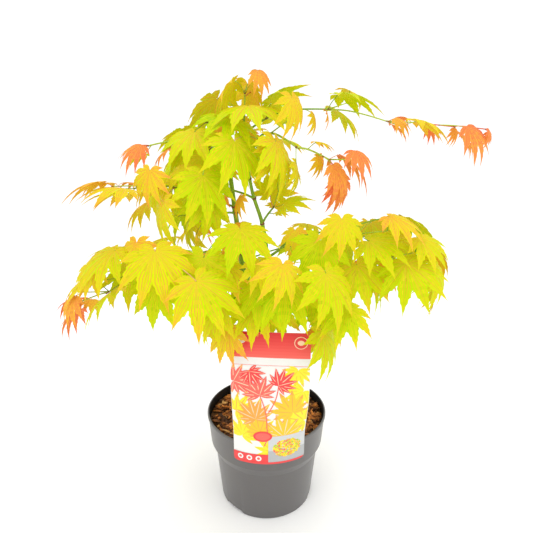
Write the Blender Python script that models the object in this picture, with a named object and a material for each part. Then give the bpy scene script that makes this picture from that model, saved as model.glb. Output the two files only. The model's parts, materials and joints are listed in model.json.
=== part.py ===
"""A young Japanese maple in its round nursery pot, with the plant label hooked over the pot's rim.

Run with: blender --background --python part.py

Frame: metres, +Z up, the origin at the middle of the pot's underside. -Y is the front, where the label
stands, and +X is east in the names of shoots. Sizes in the tables below are in millimetres.
"""

import math
import random
from typing import NamedTuple

import bmesh
import bpy
from mathutils import Matrix, Vector
from mathutils.bvhtree import BVHTree

MM = 0.001
UP = Vector((0, 0, 1))
GAP = 0.3  # between two pieces that touch

# ---------------------------------------------------------------------------------------------- sizes

POT_HEIGHT = 150
RIM_RADIUS = 95
BAND_FOOT_RADIUS, BAND_FOOT_HEIGHT = 90, 102  # where the tall rim band ends
SHOULDER_RADIUS, SHOULDER_HEIGHT = 82.8, 87  # where the sloped shoulder meets the body
BASE_RADIUS, BASE_CHAMFER = 74.8, 1.2
POT_WALL = 1.6
LIP = 1.4  # how far the rolled lip stands out of the band
FLOOR_THICKNESS = 3
POT_SIDES = 36
DRAIN_NOTCHES = 3
DRAIN_TURN = 107  # degrees from +X to the first notch
DRAIN_WIDTH, DRAIN_HEIGHT, DRAIN_DEPTH = 34, 5, 9

SOIL_TOP = 136
SOIL_LUMP = 2.2  # height of the bark's lumps
SOIL_CALM_RADIUS = 16  # flat round the trunk

LABEL_WIDTH, LABEL_LOW, LABEL_HIGH = 108, 120, 326
LABEL_THICKNESS = 0.8
LABEL_CORNER = 6  # radius of its corners
LABEL_TURN = -5.6  # degrees that the place where it hugs the pot lies west of the front
LABEL_SHIFT = 14  # of its middle, east of that place
LABEL_FLAT_FROM = 260  # above this height the sheet has lost its curve
LABEL_TAB_WIDTH, LABEL_TAB_LEAN = 30, 4

TWIG_SIDES = 3
LIMB_SIDES = 6
LEAF_THICKNESS = 1.0
PETIOLE_RADIUS, PETIOLE_TIP_RADIUS = 0.65, 0.42
PETIOLE_INSET = 0.05  # share of the blade's length between a stalk's end and the leaf's hub
CLEARANCE = 0.8  # kept round every leaf and stalk while they are placed
HANG = 12  # degrees that a leaf under its shoot hangs more, and one above it less, than its shoot's droop


class Limb(NamedTuple):
    """A bare, tapering limb through a few points, from its parent's axis to its tip."""

    name: str
    parent: str
    points: tuple
    radii: tuple


class Shoot(NamedTuple):
    """A leafy shoot: its parent and place on it, tip, upward bow, and pairs of leaves with their blades.

    A shoot on a limb starts a mass of foliage, and a shoot on a shoot belongs to its parent's mass."""

    name: str
    parent: str
    along: float
    tip: tuple
    rise: float
    pairs: int
    first: float
    blade: tuple
    youth: tuple  # 0 is a broad green leaf, 1 a narrow folded red one
    droop: float  # degrees that its leaves hang below the level
    seed: int
    hang: float = HANG


LIMBS = (
    Limb(
        "trunk",
        "",
        ((0, 0, 136.3), (-2, 0, 165), (-6, 0, 225), (-13, 2, 275), (-23, 4, 318), (-34, 8, 372),
         (-43, 12, 447), (-51, 16, 512), (-54, 18, 554), (-57, 19, 569)),
        (10.5, 7.6, 6.8, 6.2, 4.9, 4.3, 3.7, 3.2, 2.8, 2.1),
    ),
    Limb(
        "east_stem",
        "trunk",
        ((-10, 1, 252), (-2, -6, 310), (-1, -8, 372), (0, -9, 412), (-6, -12, 454), (-19, -16, 497),
         (-26, -20, 538)),
        (4.0, 3.7, 3.3, 3.0, 2.7, 2.3, 1.9),
    ),
    Limb(
        "crest_limb",
        "trunk",
        ((-54, 18, 551), (-43, 15, 562), (-32, 12, 573)),
        (1.9, 1.8, 1.6),
    ),
    Limb(
        "low_west_limb",
        "trunk",
        ((-35, 8, 374), (-58, -6, 392), (-85, -24, 397), (-113, -36, 394)),
        (2.3, 1.9, 1.7, 1.5),
    ),
    Limb(
        "low_east_limb",
        "east_stem",
        ((-2, -6, 360), (24, -24, 386), (50, -38, 393), (74, -46, 388)),
        (2.3, 1.9, 1.7, 1.5),
    ),
    Limb(
        "mid_east_limb",
        "east_stem",
        ((0, -8, 402), (19, -26, 421), (34, -38, 443)),
        (2.1, 1.8, 1.6),
    ),
    Limb(
        "north_limb",
        "trunk",
        ((-31, 7, 349), (-26, 36, 368), (-17, 70, 374)),
        (2.3, 1.9, 1.6),
    ),
)

SHOOTS = (
    Shoot("crest", "crest_limb", 1.0, (0, 9, 596), 2, 1, 1.0, (76, 62), (0.05, 0.1), -35, 511),
    Shoot("crest_span", "crest", 1.0, (84, -2, 607), 6, 1, 1.0, (66, 62), (0.05, 0.1), 23, 2950, 25),
    Shoot("crest_arch", "crest_span", 1.0, (182, -16, 584), 4, 2, 0.78, (36, 62), (0.8, 0.5), 4, 490, 10),
    Shoot("crest_far", "crest_arch", 1.0, (246, -26, 584), 1, 1, 1.0, (58, 56), (0.9, 0.9), 22, 742, 15),
    Shoot("crest_tip", "crest_far", 1.0, (283, -33, 581), 1, 1, 1.0, (28, 26), (1.0, 1.0), 49, 305, 0),
    Shoot("crest_top", "crest", 0.02, (-29, 8, 629), 0, 2, 0.5, (80, 62), (0.1, 0.35), 30, 575),
    Shoot("crest_top_tip", "crest_top", 1.0, (-14, 4, 653), 0, 1, 1.0, (40, 36), (0.6, 0.8), 18, 680),
    Shoot("west_crown", "trunk", 0.985, (-82, 2, 591), 8, 2, 0.5, (68, 66), (0.05, 0.15), 16, 1298, 32),
    Shoot("front_crown", "trunk", 0.925, (-22, -42, 573), 6, 1, 1.0, (78, 78), (0.15, 0.15), 49, 71, 22),
    Shoot("front_heart", "east_stem", 0.46, (-21, -84, 402), 6, 1, 1.0, (82, 64), (0.1, 0.2), 46, 196),
    Shoot("west_shoulder", "trunk", 0.95, (-108, -14, 565), 2, 2, 0.5, (72, 70), (0.1, 0.2), 38, 992, 2),
    Shoot("west_shoulder_tip", "west_shoulder", 1.0, (-158, -18, 560),
          3, 1, 1.0, (50, 48), (1.0, 1.0), 0, 129),
    Shoot("west_shoulder_front", "west_shoulder", 0.4, (-71, -52, 556),
          2, 1, 1.0, (64, 66), (0.1, 0.1), 47, 160, 0),
    Shoot("east_spray", "east_stem", 1.0, (40, -34, 558), 30, 2, 0.55, (74, 52), (0.2, 0.3), 61, 1117, 2),
    Shoot("east_spray_bend", "east_spray", 1.0, (82, -40, 543),
          3, 1, 1.0, (64, 64), (0.45, 0.85), 40, 733, 45),
    Shoot("east_spray_tip", "east_spray_bend", 1.0, (96, -44, 527),
          2, 1, 1.0, (60, 50), (1.0, 1.0), 64, 925, 0),
    Shoot("west_long", "east_stem", 0.83, (-64, -34, 508), 2, 1, 1.0, (64, 62), (0.15, 0.15), 41, 1179, 2),
    Shoot("west_long_middle", "west_long", 1.0, (-121, -46, 508),
          3, 1, 1.0, (66, 66), (0.2, 0.2), 54, 1425, 0),
    Shoot("west_long_end", "west_long_middle", 1.0, (-170, -54, 508),
          3, 1, 1.0, (66, 64), (0.4, 0.4), -23, 972, 2),
    Shoot("west_long_tip", "west_long_end", 1.0, (-197, -58, 511),
          1, 1, 1.0, (64, 58), (0.6, 0.7), -7, 380, 0),
    Shoot("west_inner", "trunk", 0.76, (-85, -44, 462), 4, 1, 1.0, (56, 54), (0.3, 0.3), 51, 361),
    Shoot("west_inner_tip", "west_inner", 1.0, (-114, -62, 474),
          2, 1, 1.0, (62, 60), (0.35, 0.35), 51, 474),
    Shoot("front_middle", "trunk", 0.71, (-55, -84, 455), 6, 1, 1.0, (78, 72), (0.1, 0.1), 36, 229),
    Shoot("low_west", "low_west_limb", 1.0, (-144, -62, 409), 6, 1, 1.0, (82, 78), (0.15, 0.15), 57, 431),
    Shoot("low_west_end", "low_west", 1.0, (-212, -70, 372), 6, 2, 0.5, (72, 62), (0.3, 0.5), 21, 6),
    Shoot("low_west_tip", "low_west_end", 1.0, (-249, -74, 360), 1, 1, 1.0, (66, 56), (0.9, 1.0), 16, 304),
    Shoot("low_west_up", "low_west", 0.75, (-151, -92, 431),
          4, 1, 1.0, (88, 76), (0.25, 0.25), 21, 1032, 2),
    Shoot("low_west_back", "low_west", 0.9, (-184, -22, 418), 4, 1, 1.0, (66, 62), (0.25, 0.25), 14, 204),
    Shoot("low_west_front", "low_west", 0.3, (-110, -122, 426),
          6, 1, 1.0, (84, 80), (0.15, 0.15), 34, 448, 32),
    Shoot("low_front", "trunk", 0.5, (-44, -56, 381), 6, 1, 1.0, (60, 58), (0.05, 0.05), 38, 598),
    Shoot("low_front_middle", "low_front", 1.0, (-37, -86, 367), 2, 1, 1.0, (70, 62), (0.2, 0.3), 32, 374),
    Shoot("low_front_tip", "low_front_middle", 1.0, (-59, -84, 349),
          0, 1, 1.0, (62, 60), (0.35, 0.4), 36, 610),
    Shoot("east_heart", "east_stem", 0.34, (24, -58, 362), 4, 1, 1.0, (62, 60), (0.05, 0.05), 48, 197),
    Shoot("east_heart_tip", "east_heart", 1.0, (69, -74, 325), 2, 1, 1.0, (66, 70), (0.1, 0.1), 46, 9),
    Shoot("low_east", "low_east_limb", 1.0, (115, -58, 400), 6, 1, 1.0, (70, 68), (0.1, 0.1), 28, 208),
    Shoot("low_east_end", "low_east", 1.0, (159, -68, 419), 6, 1, 1.0, (78, 72), (0.1, 0.15), 34, 246),
    Shoot("low_east_tip", "low_east_end", 1.0, (215, -66, 399), 3, 2, 0.6, (62, 60), (0.2, 0.4), 51, 424),
    Shoot("low_east_front", "low_east", 0.15, (51, -112, 403), 8, 1, 1.0, (82, 76), (0.1, 0.1), 40, 243),
    Shoot("low_east_drop", "low_east_front", 0.8, (94, -100, 372),
          2, 1, 1.0, (66, 62), (0.15, 0.2), 30, 278),
    Shoot("middle_east", "mid_east_limb", 1.0, (73, -62, 447), 6, 1, 1.0, (78, 72), (0.15, 0.2), 63, 389),
    Shoot("middle_east_end", "middle_east", 1.0, (119, -64, 450), 5, 1, 1.0, (76, 74), (0.2, 0.2), 8, 367),
    Shoot("middle_east_tip", "middle_east_end", 1.0, (169, -64, 474),
          5, 1, 1.0, (74, 70), (0.15, 0.15), 34, 1860, 0),
    Shoot("inner_east", "east_stem", 0.7, (10, -4, 476), 2, 1, 1.0, (60, 52), (0.1, 0.1), -37, 357),
    Shoot("north_upper", "trunk", 0.9, (-132, 104, 554), 8, 2, 0.45, (66, 60), (0.1, 0.3), 28, 52),
    Shoot("north_crest", "trunk", 0.93, (15, 96, 551), 8, 2, 0.5, (60, 56), (0.1, 0.3), 26, 252),
    Shoot("north_west", "trunk", 0.78, (-178, 104, 478), 8, 2, 0.4, (68, 60), (0.1, 0.4), 30, 32),
    Shoot("north_low_west", "trunk", 0.62, (-198, 100, 367), 8, 2, 0.4, (70, 60), (0.1, 0.4), 16, 133),
    Shoot("north_low", "north_limb", 1.0, (-56, 160, 350), 8, 2, 0.5, (70, 62), (0.1, 0.3), 36, 217),
    Shoot("north_east", "north_low", 0.25, (170, 116, 408), 8, 2, 0.35, (68, 60), (0.1, 0.3), 36, 147),
    Shoot("north_low_east", "north_low", 0.1, (119, 74, 332), 8, 2, 0.5, (68, 60), (0.1, 0.3), 26, 166),
)

# ------------------------------------------------------------------------------------- plan of the plant
# Everything in this section works in millimetres.

BARK_BROWN, STEM_GREEN = (0.16, 0.10, 0.06, 1), (0.16, 0.30, 0.05, 1)
SHOOT_RADIUS, SHOOT_TIP_RADIUS = 1.3, 0.6
SHOOT_TAPER = 0.78  # radius at a shoot's tip, as a share of that at its foot
BRANCH_SHARE = 0.85  # radius of a side branch, as a share of its parent's there
TWIG_RADIUS = 0.7
SHOOT_STEPS = 4
LIMB_STEPS = 3  # rings between two points of a limb
LOBES = ((0, 1.0), (31, 0.96), (64, 0.84), (102, 0.58))  # degrees from the midrib, share of the length
YOUNG = 0.6  # youth from which a leaf lacks its lowest lobes
STALK_CLEAR_FROM = 4  # nearer to its node a stalk may touch its neighbours
TRIES = 18  # places tried for a leaf before it is skipped
STALK_SHARE = (0.34, 0.6)  # length of a stalk, as a share of its blade's
STALK_AHEAD = (0.3, 0.8)  # how far a stalk leans along its shoot
STALK_LOWEST = -0.35  # steepest way down that a stalk takes
LEAF_TURN, LEAF_TURN_MORE = 20, 4  # degrees round the shoot, at first and more with each try
HEADING_TURN, HEADING_TURN_MORE = 32, 3  # degrees that a midrib swings level, in the same way
DROOP_SPREAD, DROOP_YOUNG = (-16, 20), 12  # degrees
HEADING_STALK, HEADING_SHOOT, HEADING_OUT = 0.7, 0.35, 0.45  # what a midrib follows: stalk, shoot, outwards
LEAF_ROLL = 22  # degrees about its midrib, either way
SIZE_SPREAD = (0.92, 1.06)
LEAF_LOWEST = 180  # height that no leaf hangs below
TWIG_CHANCE = 0.3  # of a side twig beside one leaf of a pair
TWIG_SHARE, TWIG_LEAF_SHARE = 0.55, 0.8  # length of a side twig, and of its leaf's blade
TWIG_AGE = 0.25  # how much younger the leaf of a side twig is


def mix(a, b, share):
    return a + (b - a) * share


def smooth_path(points, steps):
    """A Catmull-Rom curve through the points, with steps pieces between each two."""
    ends = [points[0] * 2 - points[1], *points, points[-1] * 2 - points[-2]]
    path = []
    for i in range(len(points) - 1):
        before, start, end, after = ends[i : i + 4]
        for k in range(steps):
            t = k / steps
            path.append(
                (start * 2 + (end - before) * t
                 + (before * 2 - start * 5 + end * 4 - after) * t**2
                 + (start * 3 - before - end * 3 + after) * t**3) / 2
            )
    return [*path, points[-1].copy()]


def spread_radii(radii, steps):
    """Radii for smooth_path's points, straight between the given ones."""
    fine = [mix(radii[i], radii[i + 1], k / steps) for i in range(len(radii) - 1) for k in range(steps)]
    return [*fine, radii[-1]]


def place_on(path, along):
    """The point and the direction at a share of the path's length."""
    lengths = [(b - a).length for a, b in zip(path, path[1:])]
    left = along * sum(lengths)
    for a, b, length in zip(path, path[1:], lengths):
        if left <= length:
            break
        left -= length
    return a.lerp(b, min(1, left / length)), (b - a).normalized()


def limb_path(limb):
    return smooth_path([Vector(p) for p in limb.points], LIMB_STEPS)


def shoot_path(shoot, paths):
    """An arching path from its parent's axis to the shoot's tip."""
    start, _ = place_on(paths[shoot.parent], shoot.along)
    tip = Vector(shoot.tip)
    path = []
    for k in range(SHOOT_STEPS + 1):
        t = k / SHOOT_STEPS
        bow = shoot.rise * math.sin(math.pi * t**0.7)
        path.append(start.lerp(tip, t) + UP * bow)
    return path


def shoot_radii(shoot, ends):
    """Radii along a shoot, which starts as thick as its parent is there and notes its own two ends."""
    if shoot.parent in ends:
        start = mix(*ends[shoot.parent], shoot.along) * (1 if shoot.along == 1 else BRANCH_SHARE)
    else:
        start = SHOOT_RADIUS
    ends[shoot.name] = (start, max(SHOOT_TIP_RADIUS, start * SHOOT_TAPER))
    return [mix(*ends[shoot.name], k / SHOOT_STEPS) for k in range(SHOOT_STEPS + 1)]


def masses():
    """The masses of foliage, as lists of shoots with the one that starts the mass first."""
    found = {}
    for shoot in SHOOTS:
        mass = next((m for m in found.values() if shoot.parent in [s.name for s in m]), None)
        if mass:
            mass.append(shoot)
        else:
            found[shoot.name] = [shoot]
    return found


def leaf_point(degrees, reach, length, fold):
    """A point of the blade and the way its upper side faces there; the blade bends down from the hub."""
    a, bend = math.radians(degrees), fold * reach
    across = Vector((math.sin(a), math.cos(a), 0))
    point = (across * math.cos(bend) - UP * math.sin(bend)) * reach * length
    return point, across * math.sin(bend) + UP * math.cos(bend)


def leaf_outline(length, youth):
    """The edge of a blade about its hub, with the way it faces: Y is along the midrib, Z its upper side."""
    spread = mix(1.0, 0.68, youth)
    notch = mix(0.54, 0.36, youth)
    fold = math.radians(mix(14, 36, youth))
    lobes = LOBES if youth < YOUNG else LOBES[:-1]
    right = []
    for i, (angle, reach) in enumerate(lobes):
        right.append((angle * spread, reach))
        if i + 1 < len(lobes):
            next_angle, next_reach = lobes[i + 1]
            right.append(((angle + next_angle) / 2 * spread, notch * (reach + next_reach) / 2))
    round_leaf = [*right, (180, 0.1), *((-angle, reach) for angle, reach in reversed(right[1:]))]
    return [leaf_point(angle, reach, length, fold) for angle, reach in round_leaf]


def leaf_frame(hub, heading, droop, roll):
    """The matrix that puts a leaf at its hub, its midrib drooping along the heading."""
    midrib = heading * math.cos(droop) - UP * math.sin(droop)
    upper = heading * math.sin(droop) + UP * math.cos(droop)
    upper = Matrix.Rotation(roll, 3, midrib) @ upper
    frame = Matrix((midrib.cross(upper), midrib, upper)).transposed().to_4x4()
    frame.translation = hub
    return frame


def stalk_end(frame, length):
    """Where a stalk ends inside the blade, just behind the hub."""
    return frame @ Vector((0, -PETIOLE_INSET * length, 0))


def plate(edge, thickness):
    """Points and faces of a closed thin leaf: a fan over the edge, and another under it."""
    half = thickness / 2
    n = len(edge)
    points = [UP * half, *(p + facing * half for p, facing in edge)]
    points += [-UP * half, *(p - facing * half for p, facing in edge)]
    faces = []
    for i in range(n):
        j = (i + 1) % n
        faces.append((0, 1 + j, 1 + i))
        faces.append((n + 1, n + 2 + i, n + 2 + j))
        faces.append((1 + i, 1 + j, n + 2 + j, n + 2 + i))
    return points, faces


def tube(path, radii, sides, level_foot=False):
    """Points and faces of a closed tapering tube along the path, its ends flat."""
    points, faces = [], []
    across = None
    for i, centre in enumerate(path):
        ahead = (path[min(i + 1, len(path) - 1)] - path[max(i - 1, 0)]).normalized()
        if level_foot and i == 0:
            ahead = UP
        if across is None:
            across = ahead.orthogonal().normalized()
        across = (across - ahead * across.dot(ahead)).normalized()
        beside = ahead.cross(across)
        for k in range(sides):
            a = 2 * math.pi * k / sides
            points.append(centre + (across * math.cos(a) + beside * math.sin(a)) * radii[i])
    for i in range(len(path) - 1):
        for k in range(sides):
            j = (k + 1) % sides
            faces.append((i * sides + k, i * sides + j, (i + 1) * sides + j, (i + 1) * sides + k))
    faces.append(tuple(reversed(range(sides))))
    faces.append(tuple(range((len(path) - 1) * sides, len(path) * sides)))
    return points, faces


def tree_of(points, faces):
    return BVHTree.FromPolygons(points, faces)


class Space:
    """What is already placed, as search trees that know their owner and their reach."""

    def __init__(self):
        self.held = []

    def add(self, owner, kind, points, faces):
        middle = sum(points, Vector()) / len(points)
        reach = max((p - middle).length for p in points)
        self.held.append((owner, kind, middle, reach, tree_of(points, faces)))

    def free(self, points, faces, own=None, kinds=("stem",)):
        """True if the shape touches nothing held, apart from those kinds of its own mass."""
        middle = sum(points, Vector()) / len(points)
        reach = max((p - middle).length for p in points)
        tree = None
        for owner, kind, other, other_reach, other_tree in self.held:
            if own == owner and kind in kinds:
                continue
            if (middle - other).length > reach + other_reach:
                continue
            tree = tree or tree_of(points, faces)
            if tree.overlap(other_tree):
                return False
        return True


class Leaf(NamedTuple):
    """A leaf as placed: where its stalk starts and ends, its frame, its length and its youth."""

    root: Vector
    hub: Vector
    frame: Matrix
    length: float
    youth: float


def try_leaf(rng, space, mass, shoot, node, ahead, roll, length, youth):
    """A leaf on its stalk at a node of a shoot, in the first place tried that is free."""
    side = ahead.cross(UP)
    side = side.normalized() if side.length > 0.2 else Vector((1, 0, 0))
    above = side.cross(ahead)
    outward = Vector((node.x, node.y, 0)).normalized()
    for attempt in range(TRIES):
        turn = roll + math.radians(rng.uniform(-1, 1) * (LEAF_TURN + LEAF_TURN_MORE * attempt))
        out = side * math.cos(turn) + above * math.sin(turn)
        stalk = (out + ahead * rng.uniform(*STALK_AHEAD)).normalized()
        if stalk.z < STALK_LOWEST:
            stalk = Vector((stalk.x, stalk.y, STALK_LOWEST)).normalized()
        hub = node + stalk * length * rng.uniform(*STALK_SHARE) * mix(1, 0.5, youth)
        level, onward = Vector((stalk.x, stalk.y, 0)), Vector((ahead.x, ahead.y, 0))
        heading = level * HEADING_STALK + onward * HEADING_SHOOT + outward * HEADING_OUT
        heading = heading.normalized() if heading.length > 0.05 else outward
        swing = math.radians(rng.uniform(-1, 1) * (HEADING_TURN + HEADING_TURN_MORE * attempt))
        heading = Matrix.Rotation(swing, 3, UP) @ heading
        droop = shoot.droop + DROOP_YOUNG * youth + rng.uniform(*DROOP_SPREAD)
        droop -= shoot.hang * math.sin(turn)
        roll_over = math.radians(rng.uniform(-LEAF_ROLL, LEAF_ROLL))
        frame = leaf_frame(hub, heading, math.radians(droop), roll_over)
        size = length * rng.uniform(*SIZE_SPREAD)
        points, faces = plate(leaf_outline(size, youth), LEAF_THICKNESS + CLEARANCE)
        points = [frame @ p for p in points]
        start = node + stalk * STALK_CLEAR_FROM
        end = stalk_end(frame, size)
        stem = tube([start, end], [PETIOLE_RADIUS + CLEARANCE / 2] * 2, TWIG_SIDES)
        foot = tube([node, start], [PETIOLE_RADIUS + GAP / 2] * 2, TWIG_SIDES)
        clear = min(p.z for p in points) > LEAF_LOWEST and space.free(points, faces)
        if clear and space.free(*stem, mass) and space.free(*foot, mass, ("stem", "stalk", "leaf")):
            space.add(mass, "leaf", points, faces)
            space.add(mass, "stalk", *stem)
            return Leaf(node, hub, frame, size, youth)
    return None


def grow(shoot, mass, path, space):
    """The leaves and side twigs of a shoot: opposite pairs, each turned a quarter from the last."""
    rng = random.Random(shoot.name + str(shoot.seed))
    leaves, twigs = [], []
    turn = rng.uniform(-0.5, 0.5)
    for k in range(shoot.pairs):
        share = k / (shoot.pairs - 1) if shoot.pairs > 1 else 1.0
        node, ahead = place_on(path, mix(shoot.first, 0.98, share))
        length, youth = mix(*shoot.blade, share), mix(*shoot.youth, share)
        roll = turn + math.pi / 2 * k
        for side in (0, math.pi):
            bears_twig = rng.random() < TWIG_CHANCE * (1 - youth)
            leaf = try_leaf(rng, space, mass, shoot, node, ahead, roll + side, length, youth)
            if leaf:
                leaves.append(leaf)
            if leaf and bears_twig:
                across = Vector((leaf.hub.x - node.x, leaf.hub.y - node.y, 0)).normalized()
                along = (across * 0.5 + ahead * 0.6 + UP * 0.3).normalized()
                end = node + along * length * TWIG_SHARE
                twig = tube([node, end], [TWIG_RADIUS] * 2, TWIG_SIDES)
                held = len(space.held)
                space.add(mass, "stem", *twig)
                side_leaf = None
                if space.free(*twig, mass):
                    side_leaf = try_leaf(
                        rng, space, mass, shoot, end, along, roll + math.pi / 2,
                        length * TWIG_LEAF_SHARE, min(1, youth + TWIG_AGE),
                    )
                if side_leaf:
                    twigs.append((node, end))
                    leaves.append(side_leaf)
                else:
                    del space.held[held:]
    return leaves, twigs


def plan_plant():
    """Paths of the limbs and shoots, the shoots' radii, and each shoot's leaves and twigs."""
    paths = {limb.name: limb_path(limb) for limb in LIMBS}
    space = Space()
    for limb in LIMBS:
        radii = [r + CLEARANCE for r in spread_radii(limb.radii, LIMB_STEPS)]
        space.add(limb.name, "limb", *tube(paths[limb.name], radii, LIMB_SIDES))
    radii, ends = {}, {}
    for name, shoots in masses().items():
        for shoot in shoots:
            paths[shoot.name] = shoot_path(shoot, paths)
            radii[shoot.name] = shoot_radii(shoot, ends)
            room = [r + CLEARANCE for r in radii[shoot.name]]
            space.add(name, "stem", *tube(paths[shoot.name], room, TWIG_SIDES))
    add_label_space(space)
    grown = {}
    for name, shoots in masses().items():
        for shoot in shoots:
            grown[shoot.name] = grow(shoot, name, paths[shoot.name], space)
    return paths, radii, grown


def add_label_space(space):
    """Keeps leaves off the label."""
    points, faces = sheet_faces(LABEL_THICKNESS + 2 * CLEARANCE, CLEARANCE)
    space.add("label", "label", points, faces)


# --------------------------------------------------------------------------------------- label's sheet

LABEL_COLUMNS, LABEL_ROWS, CORNER_STEPS = 10, 4, 2


def label_front(across, height, proud=0.0):
    """A point of the sheet's front: it hugs the rim band below and flattens towards its top."""
    calm = max(0.0, min(1.0, (height - POT_HEIGHT) / (LABEL_FLAT_FROM - POT_HEIGHT)))
    radius = RIM_RADIUS + GAP + LABEL_THICKNESS + proud
    curve = mix(1 / radius, 1 / (radius * 12), calm * calm * (3 - 2 * calm))
    angle = across * curve
    point = Vector((math.sin(angle) / curve, (1 - math.cos(angle)) / curve - radius, height))
    return Matrix.Rotation(math.radians(LABEL_TURN), 3, "Z") @ point


def label_rows():
    """The sheet's rows from its bottom up, as (height, half of the width there)."""
    corner = []
    half = LABEL_WIDTH / 2
    for k in range(CORNER_STEPS + 1):
        a = math.pi / 2 * k / CORNER_STEPS
        corner.append((LABEL_CORNER * (1 - math.sin(a)), half - LABEL_CORNER * (1 - math.cos(a))))
    rows = [(LABEL_LOW + rise, half) for rise, half in reversed(corner)]
    low, high = LABEL_LOW + LABEL_CORNER, LABEL_HIGH - LABEL_CORNER
    rows += [(mix(low, high, k / LABEL_ROWS), half) for k in range(1, LABEL_ROWS)]
    return rows + [(LABEL_HIGH - rise, half) for rise, half in corner]


def sheet_faces(thickness, proud=0.0):
    """Points and faces of the label's closed sheet."""
    front, back = [], []
    rows = label_rows()
    for height, half in rows:
        for column in range(LABEL_COLUMNS + 1):
            across = (column / LABEL_COLUMNS * 2 - 1) * half + LABEL_SHIFT
            front.append(label_front(across, height, proud))
            back.append(label_front(across, height, proud - thickness))
    wide = LABEL_COLUMNS + 1
    shift = len(front)
    top = len(rows) - 1
    faces = []
    for row in range(top):
        for column in range(LABEL_COLUMNS):
            a = row * wide + column
            faces.append((a, a + 1, a + wide + 1, a + wide))
            faces.append((shift + a, shift + a + wide, shift + a + wide + 1, shift + a + 1))
    rim = [*range(wide), *(r * wide + wide - 1 for r in range(1, top + 1))]
    rim += [*range(shift - 2, shift - wide - 1, -1), *(r * wide for r in range(top - 1, 0, -1))]
    for a, b in zip(rim, [*rim[1:], rim[0]]):
        faces.append((b, a, shift + a, shift + b))
    return [*front, *back], faces


# ------------------------------------------------------------------------------------- Blender helpers


def material(name, colour, roughness):
    made = bpy.data.materials.new(name)
    made.use_nodes = True
    shader = made.node_tree.nodes["Principled BSDF"]
    shader.inputs["Base Color"].default_value = colour
    shader.inputs["Roughness"].default_value = roughness
    return made


def new_object(name, points, faces, finish=None, collection=None):
    """A mesh object from points in millimetres."""
    mesh = bpy.data.meshes.new(name)
    mesh.from_pydata([p * MM for p in points], [], faces)
    mesh.update()
    obj = bpy.data.objects.new(name, mesh)
    (collection or bpy.context.scene.collection).objects.link(obj)
    if finish:
        mesh.materials.append(finish)
    return obj


def turned(name, profile, sides, finish=None, collection=None):
    """A solid of revolution from (radius, height) points that run round its section, outer side upwards."""
    points, faces = [], []
    rings = []
    for radius, height in profile:
        if radius == 0:
            rings.append([len(points)])
            points.append(Vector((0, 0, height)))
            continue
        ring = []
        for k in range(sides):
            a = 2 * math.pi * k / sides
            ring.append(len(points))
            points.append(Vector((radius * math.cos(a), radius * math.sin(a), height)))
        rings.append(ring)
    closed = profile[0][0] != 0
    for low, high in zip(rings, rings[1:] + rings[:1] if closed else rings[1:]):
        for k in range(sides):
            j = (k + 1) % sides
            if len(low) == 1:
                faces.append((low[0], high[j], high[k]))
            elif len(high) == 1:
                faces.append((low[k], low[j], high[0]))
            else:
                faces.append((low[k], low[j], high[j], high[k]))
    return new_object(name, points, faces, finish, collection)


def helper_collection(name):
    made = bpy.data.collections.new(name)
    bpy.context.scene.collection.children.link(made)
    return made


def boolean(obj, operation, operand):
    """Adds a Boolean with a collection or an object as its operand."""
    modifier = obj.modifiers.new(operation.lower(), "BOOLEAN")
    modifier.operation = operation
    modifier.solver = "EXACT"
    if isinstance(operand, bpy.types.Collection):
        modifier.operand_type = "COLLECTION"
        modifier.collection = operand
    else:
        modifier.object = operand


def apply_and_clear(obj, *collections):
    """Applies the object's modifiers and removes the helpers that they used."""
    graph = bpy.context.evaluated_depsgraph_get()
    mesh = bpy.data.meshes.new_from_object(obj.evaluated_get(graph))
    obj.modifiers.clear()
    obj.data = mesh
    for collection in collections:
        for helper in list(collection.objects):
            bpy.data.objects.remove(helper)
        bpy.data.collections.remove(collection)


def keep_largest(obj):
    """Drops loose scraps that a cut leaves."""
    shape = bmesh.new()
    shape.from_mesh(obj.data)
    unseen = set(shape.verts)
    islands = []
    while unseen:
        queue = [unseen.pop()]
        island = set(queue)
        while queue:
            for edge in queue.pop().link_edges:
                for vert in edge.verts:
                    if vert in unseen:
                        unseen.discard(vert)
                        island.add(vert)
                        queue.append(vert)
        islands.append(island)
    islands.sort(key=len)
    scraps = [vert for island in islands[:-1] for vert in island]
    bmesh.ops.delete(shape, geom=scraps, context="VERTS")
    shape.to_mesh(obj.data)
    shape.free()


# ----------------------------------------------------------------------------------------------- pieces


def pot_profile(inset=0.0):
    """The pot's outside from its base up to its lip, as (radius, height)."""
    return [
        (BASE_RADIUS - BASE_CHAMFER - inset, 0),
        (BASE_RADIUS - inset, BASE_CHAMFER),
        (SHOULDER_RADIUS - inset, SHOULDER_HEIGHT),
        (BAND_FOOT_RADIUS - inset, BAND_FOOT_HEIGHT),
        (RIM_RADIUS - LIP - inset, POT_HEIGHT - 5),
    ]


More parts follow.
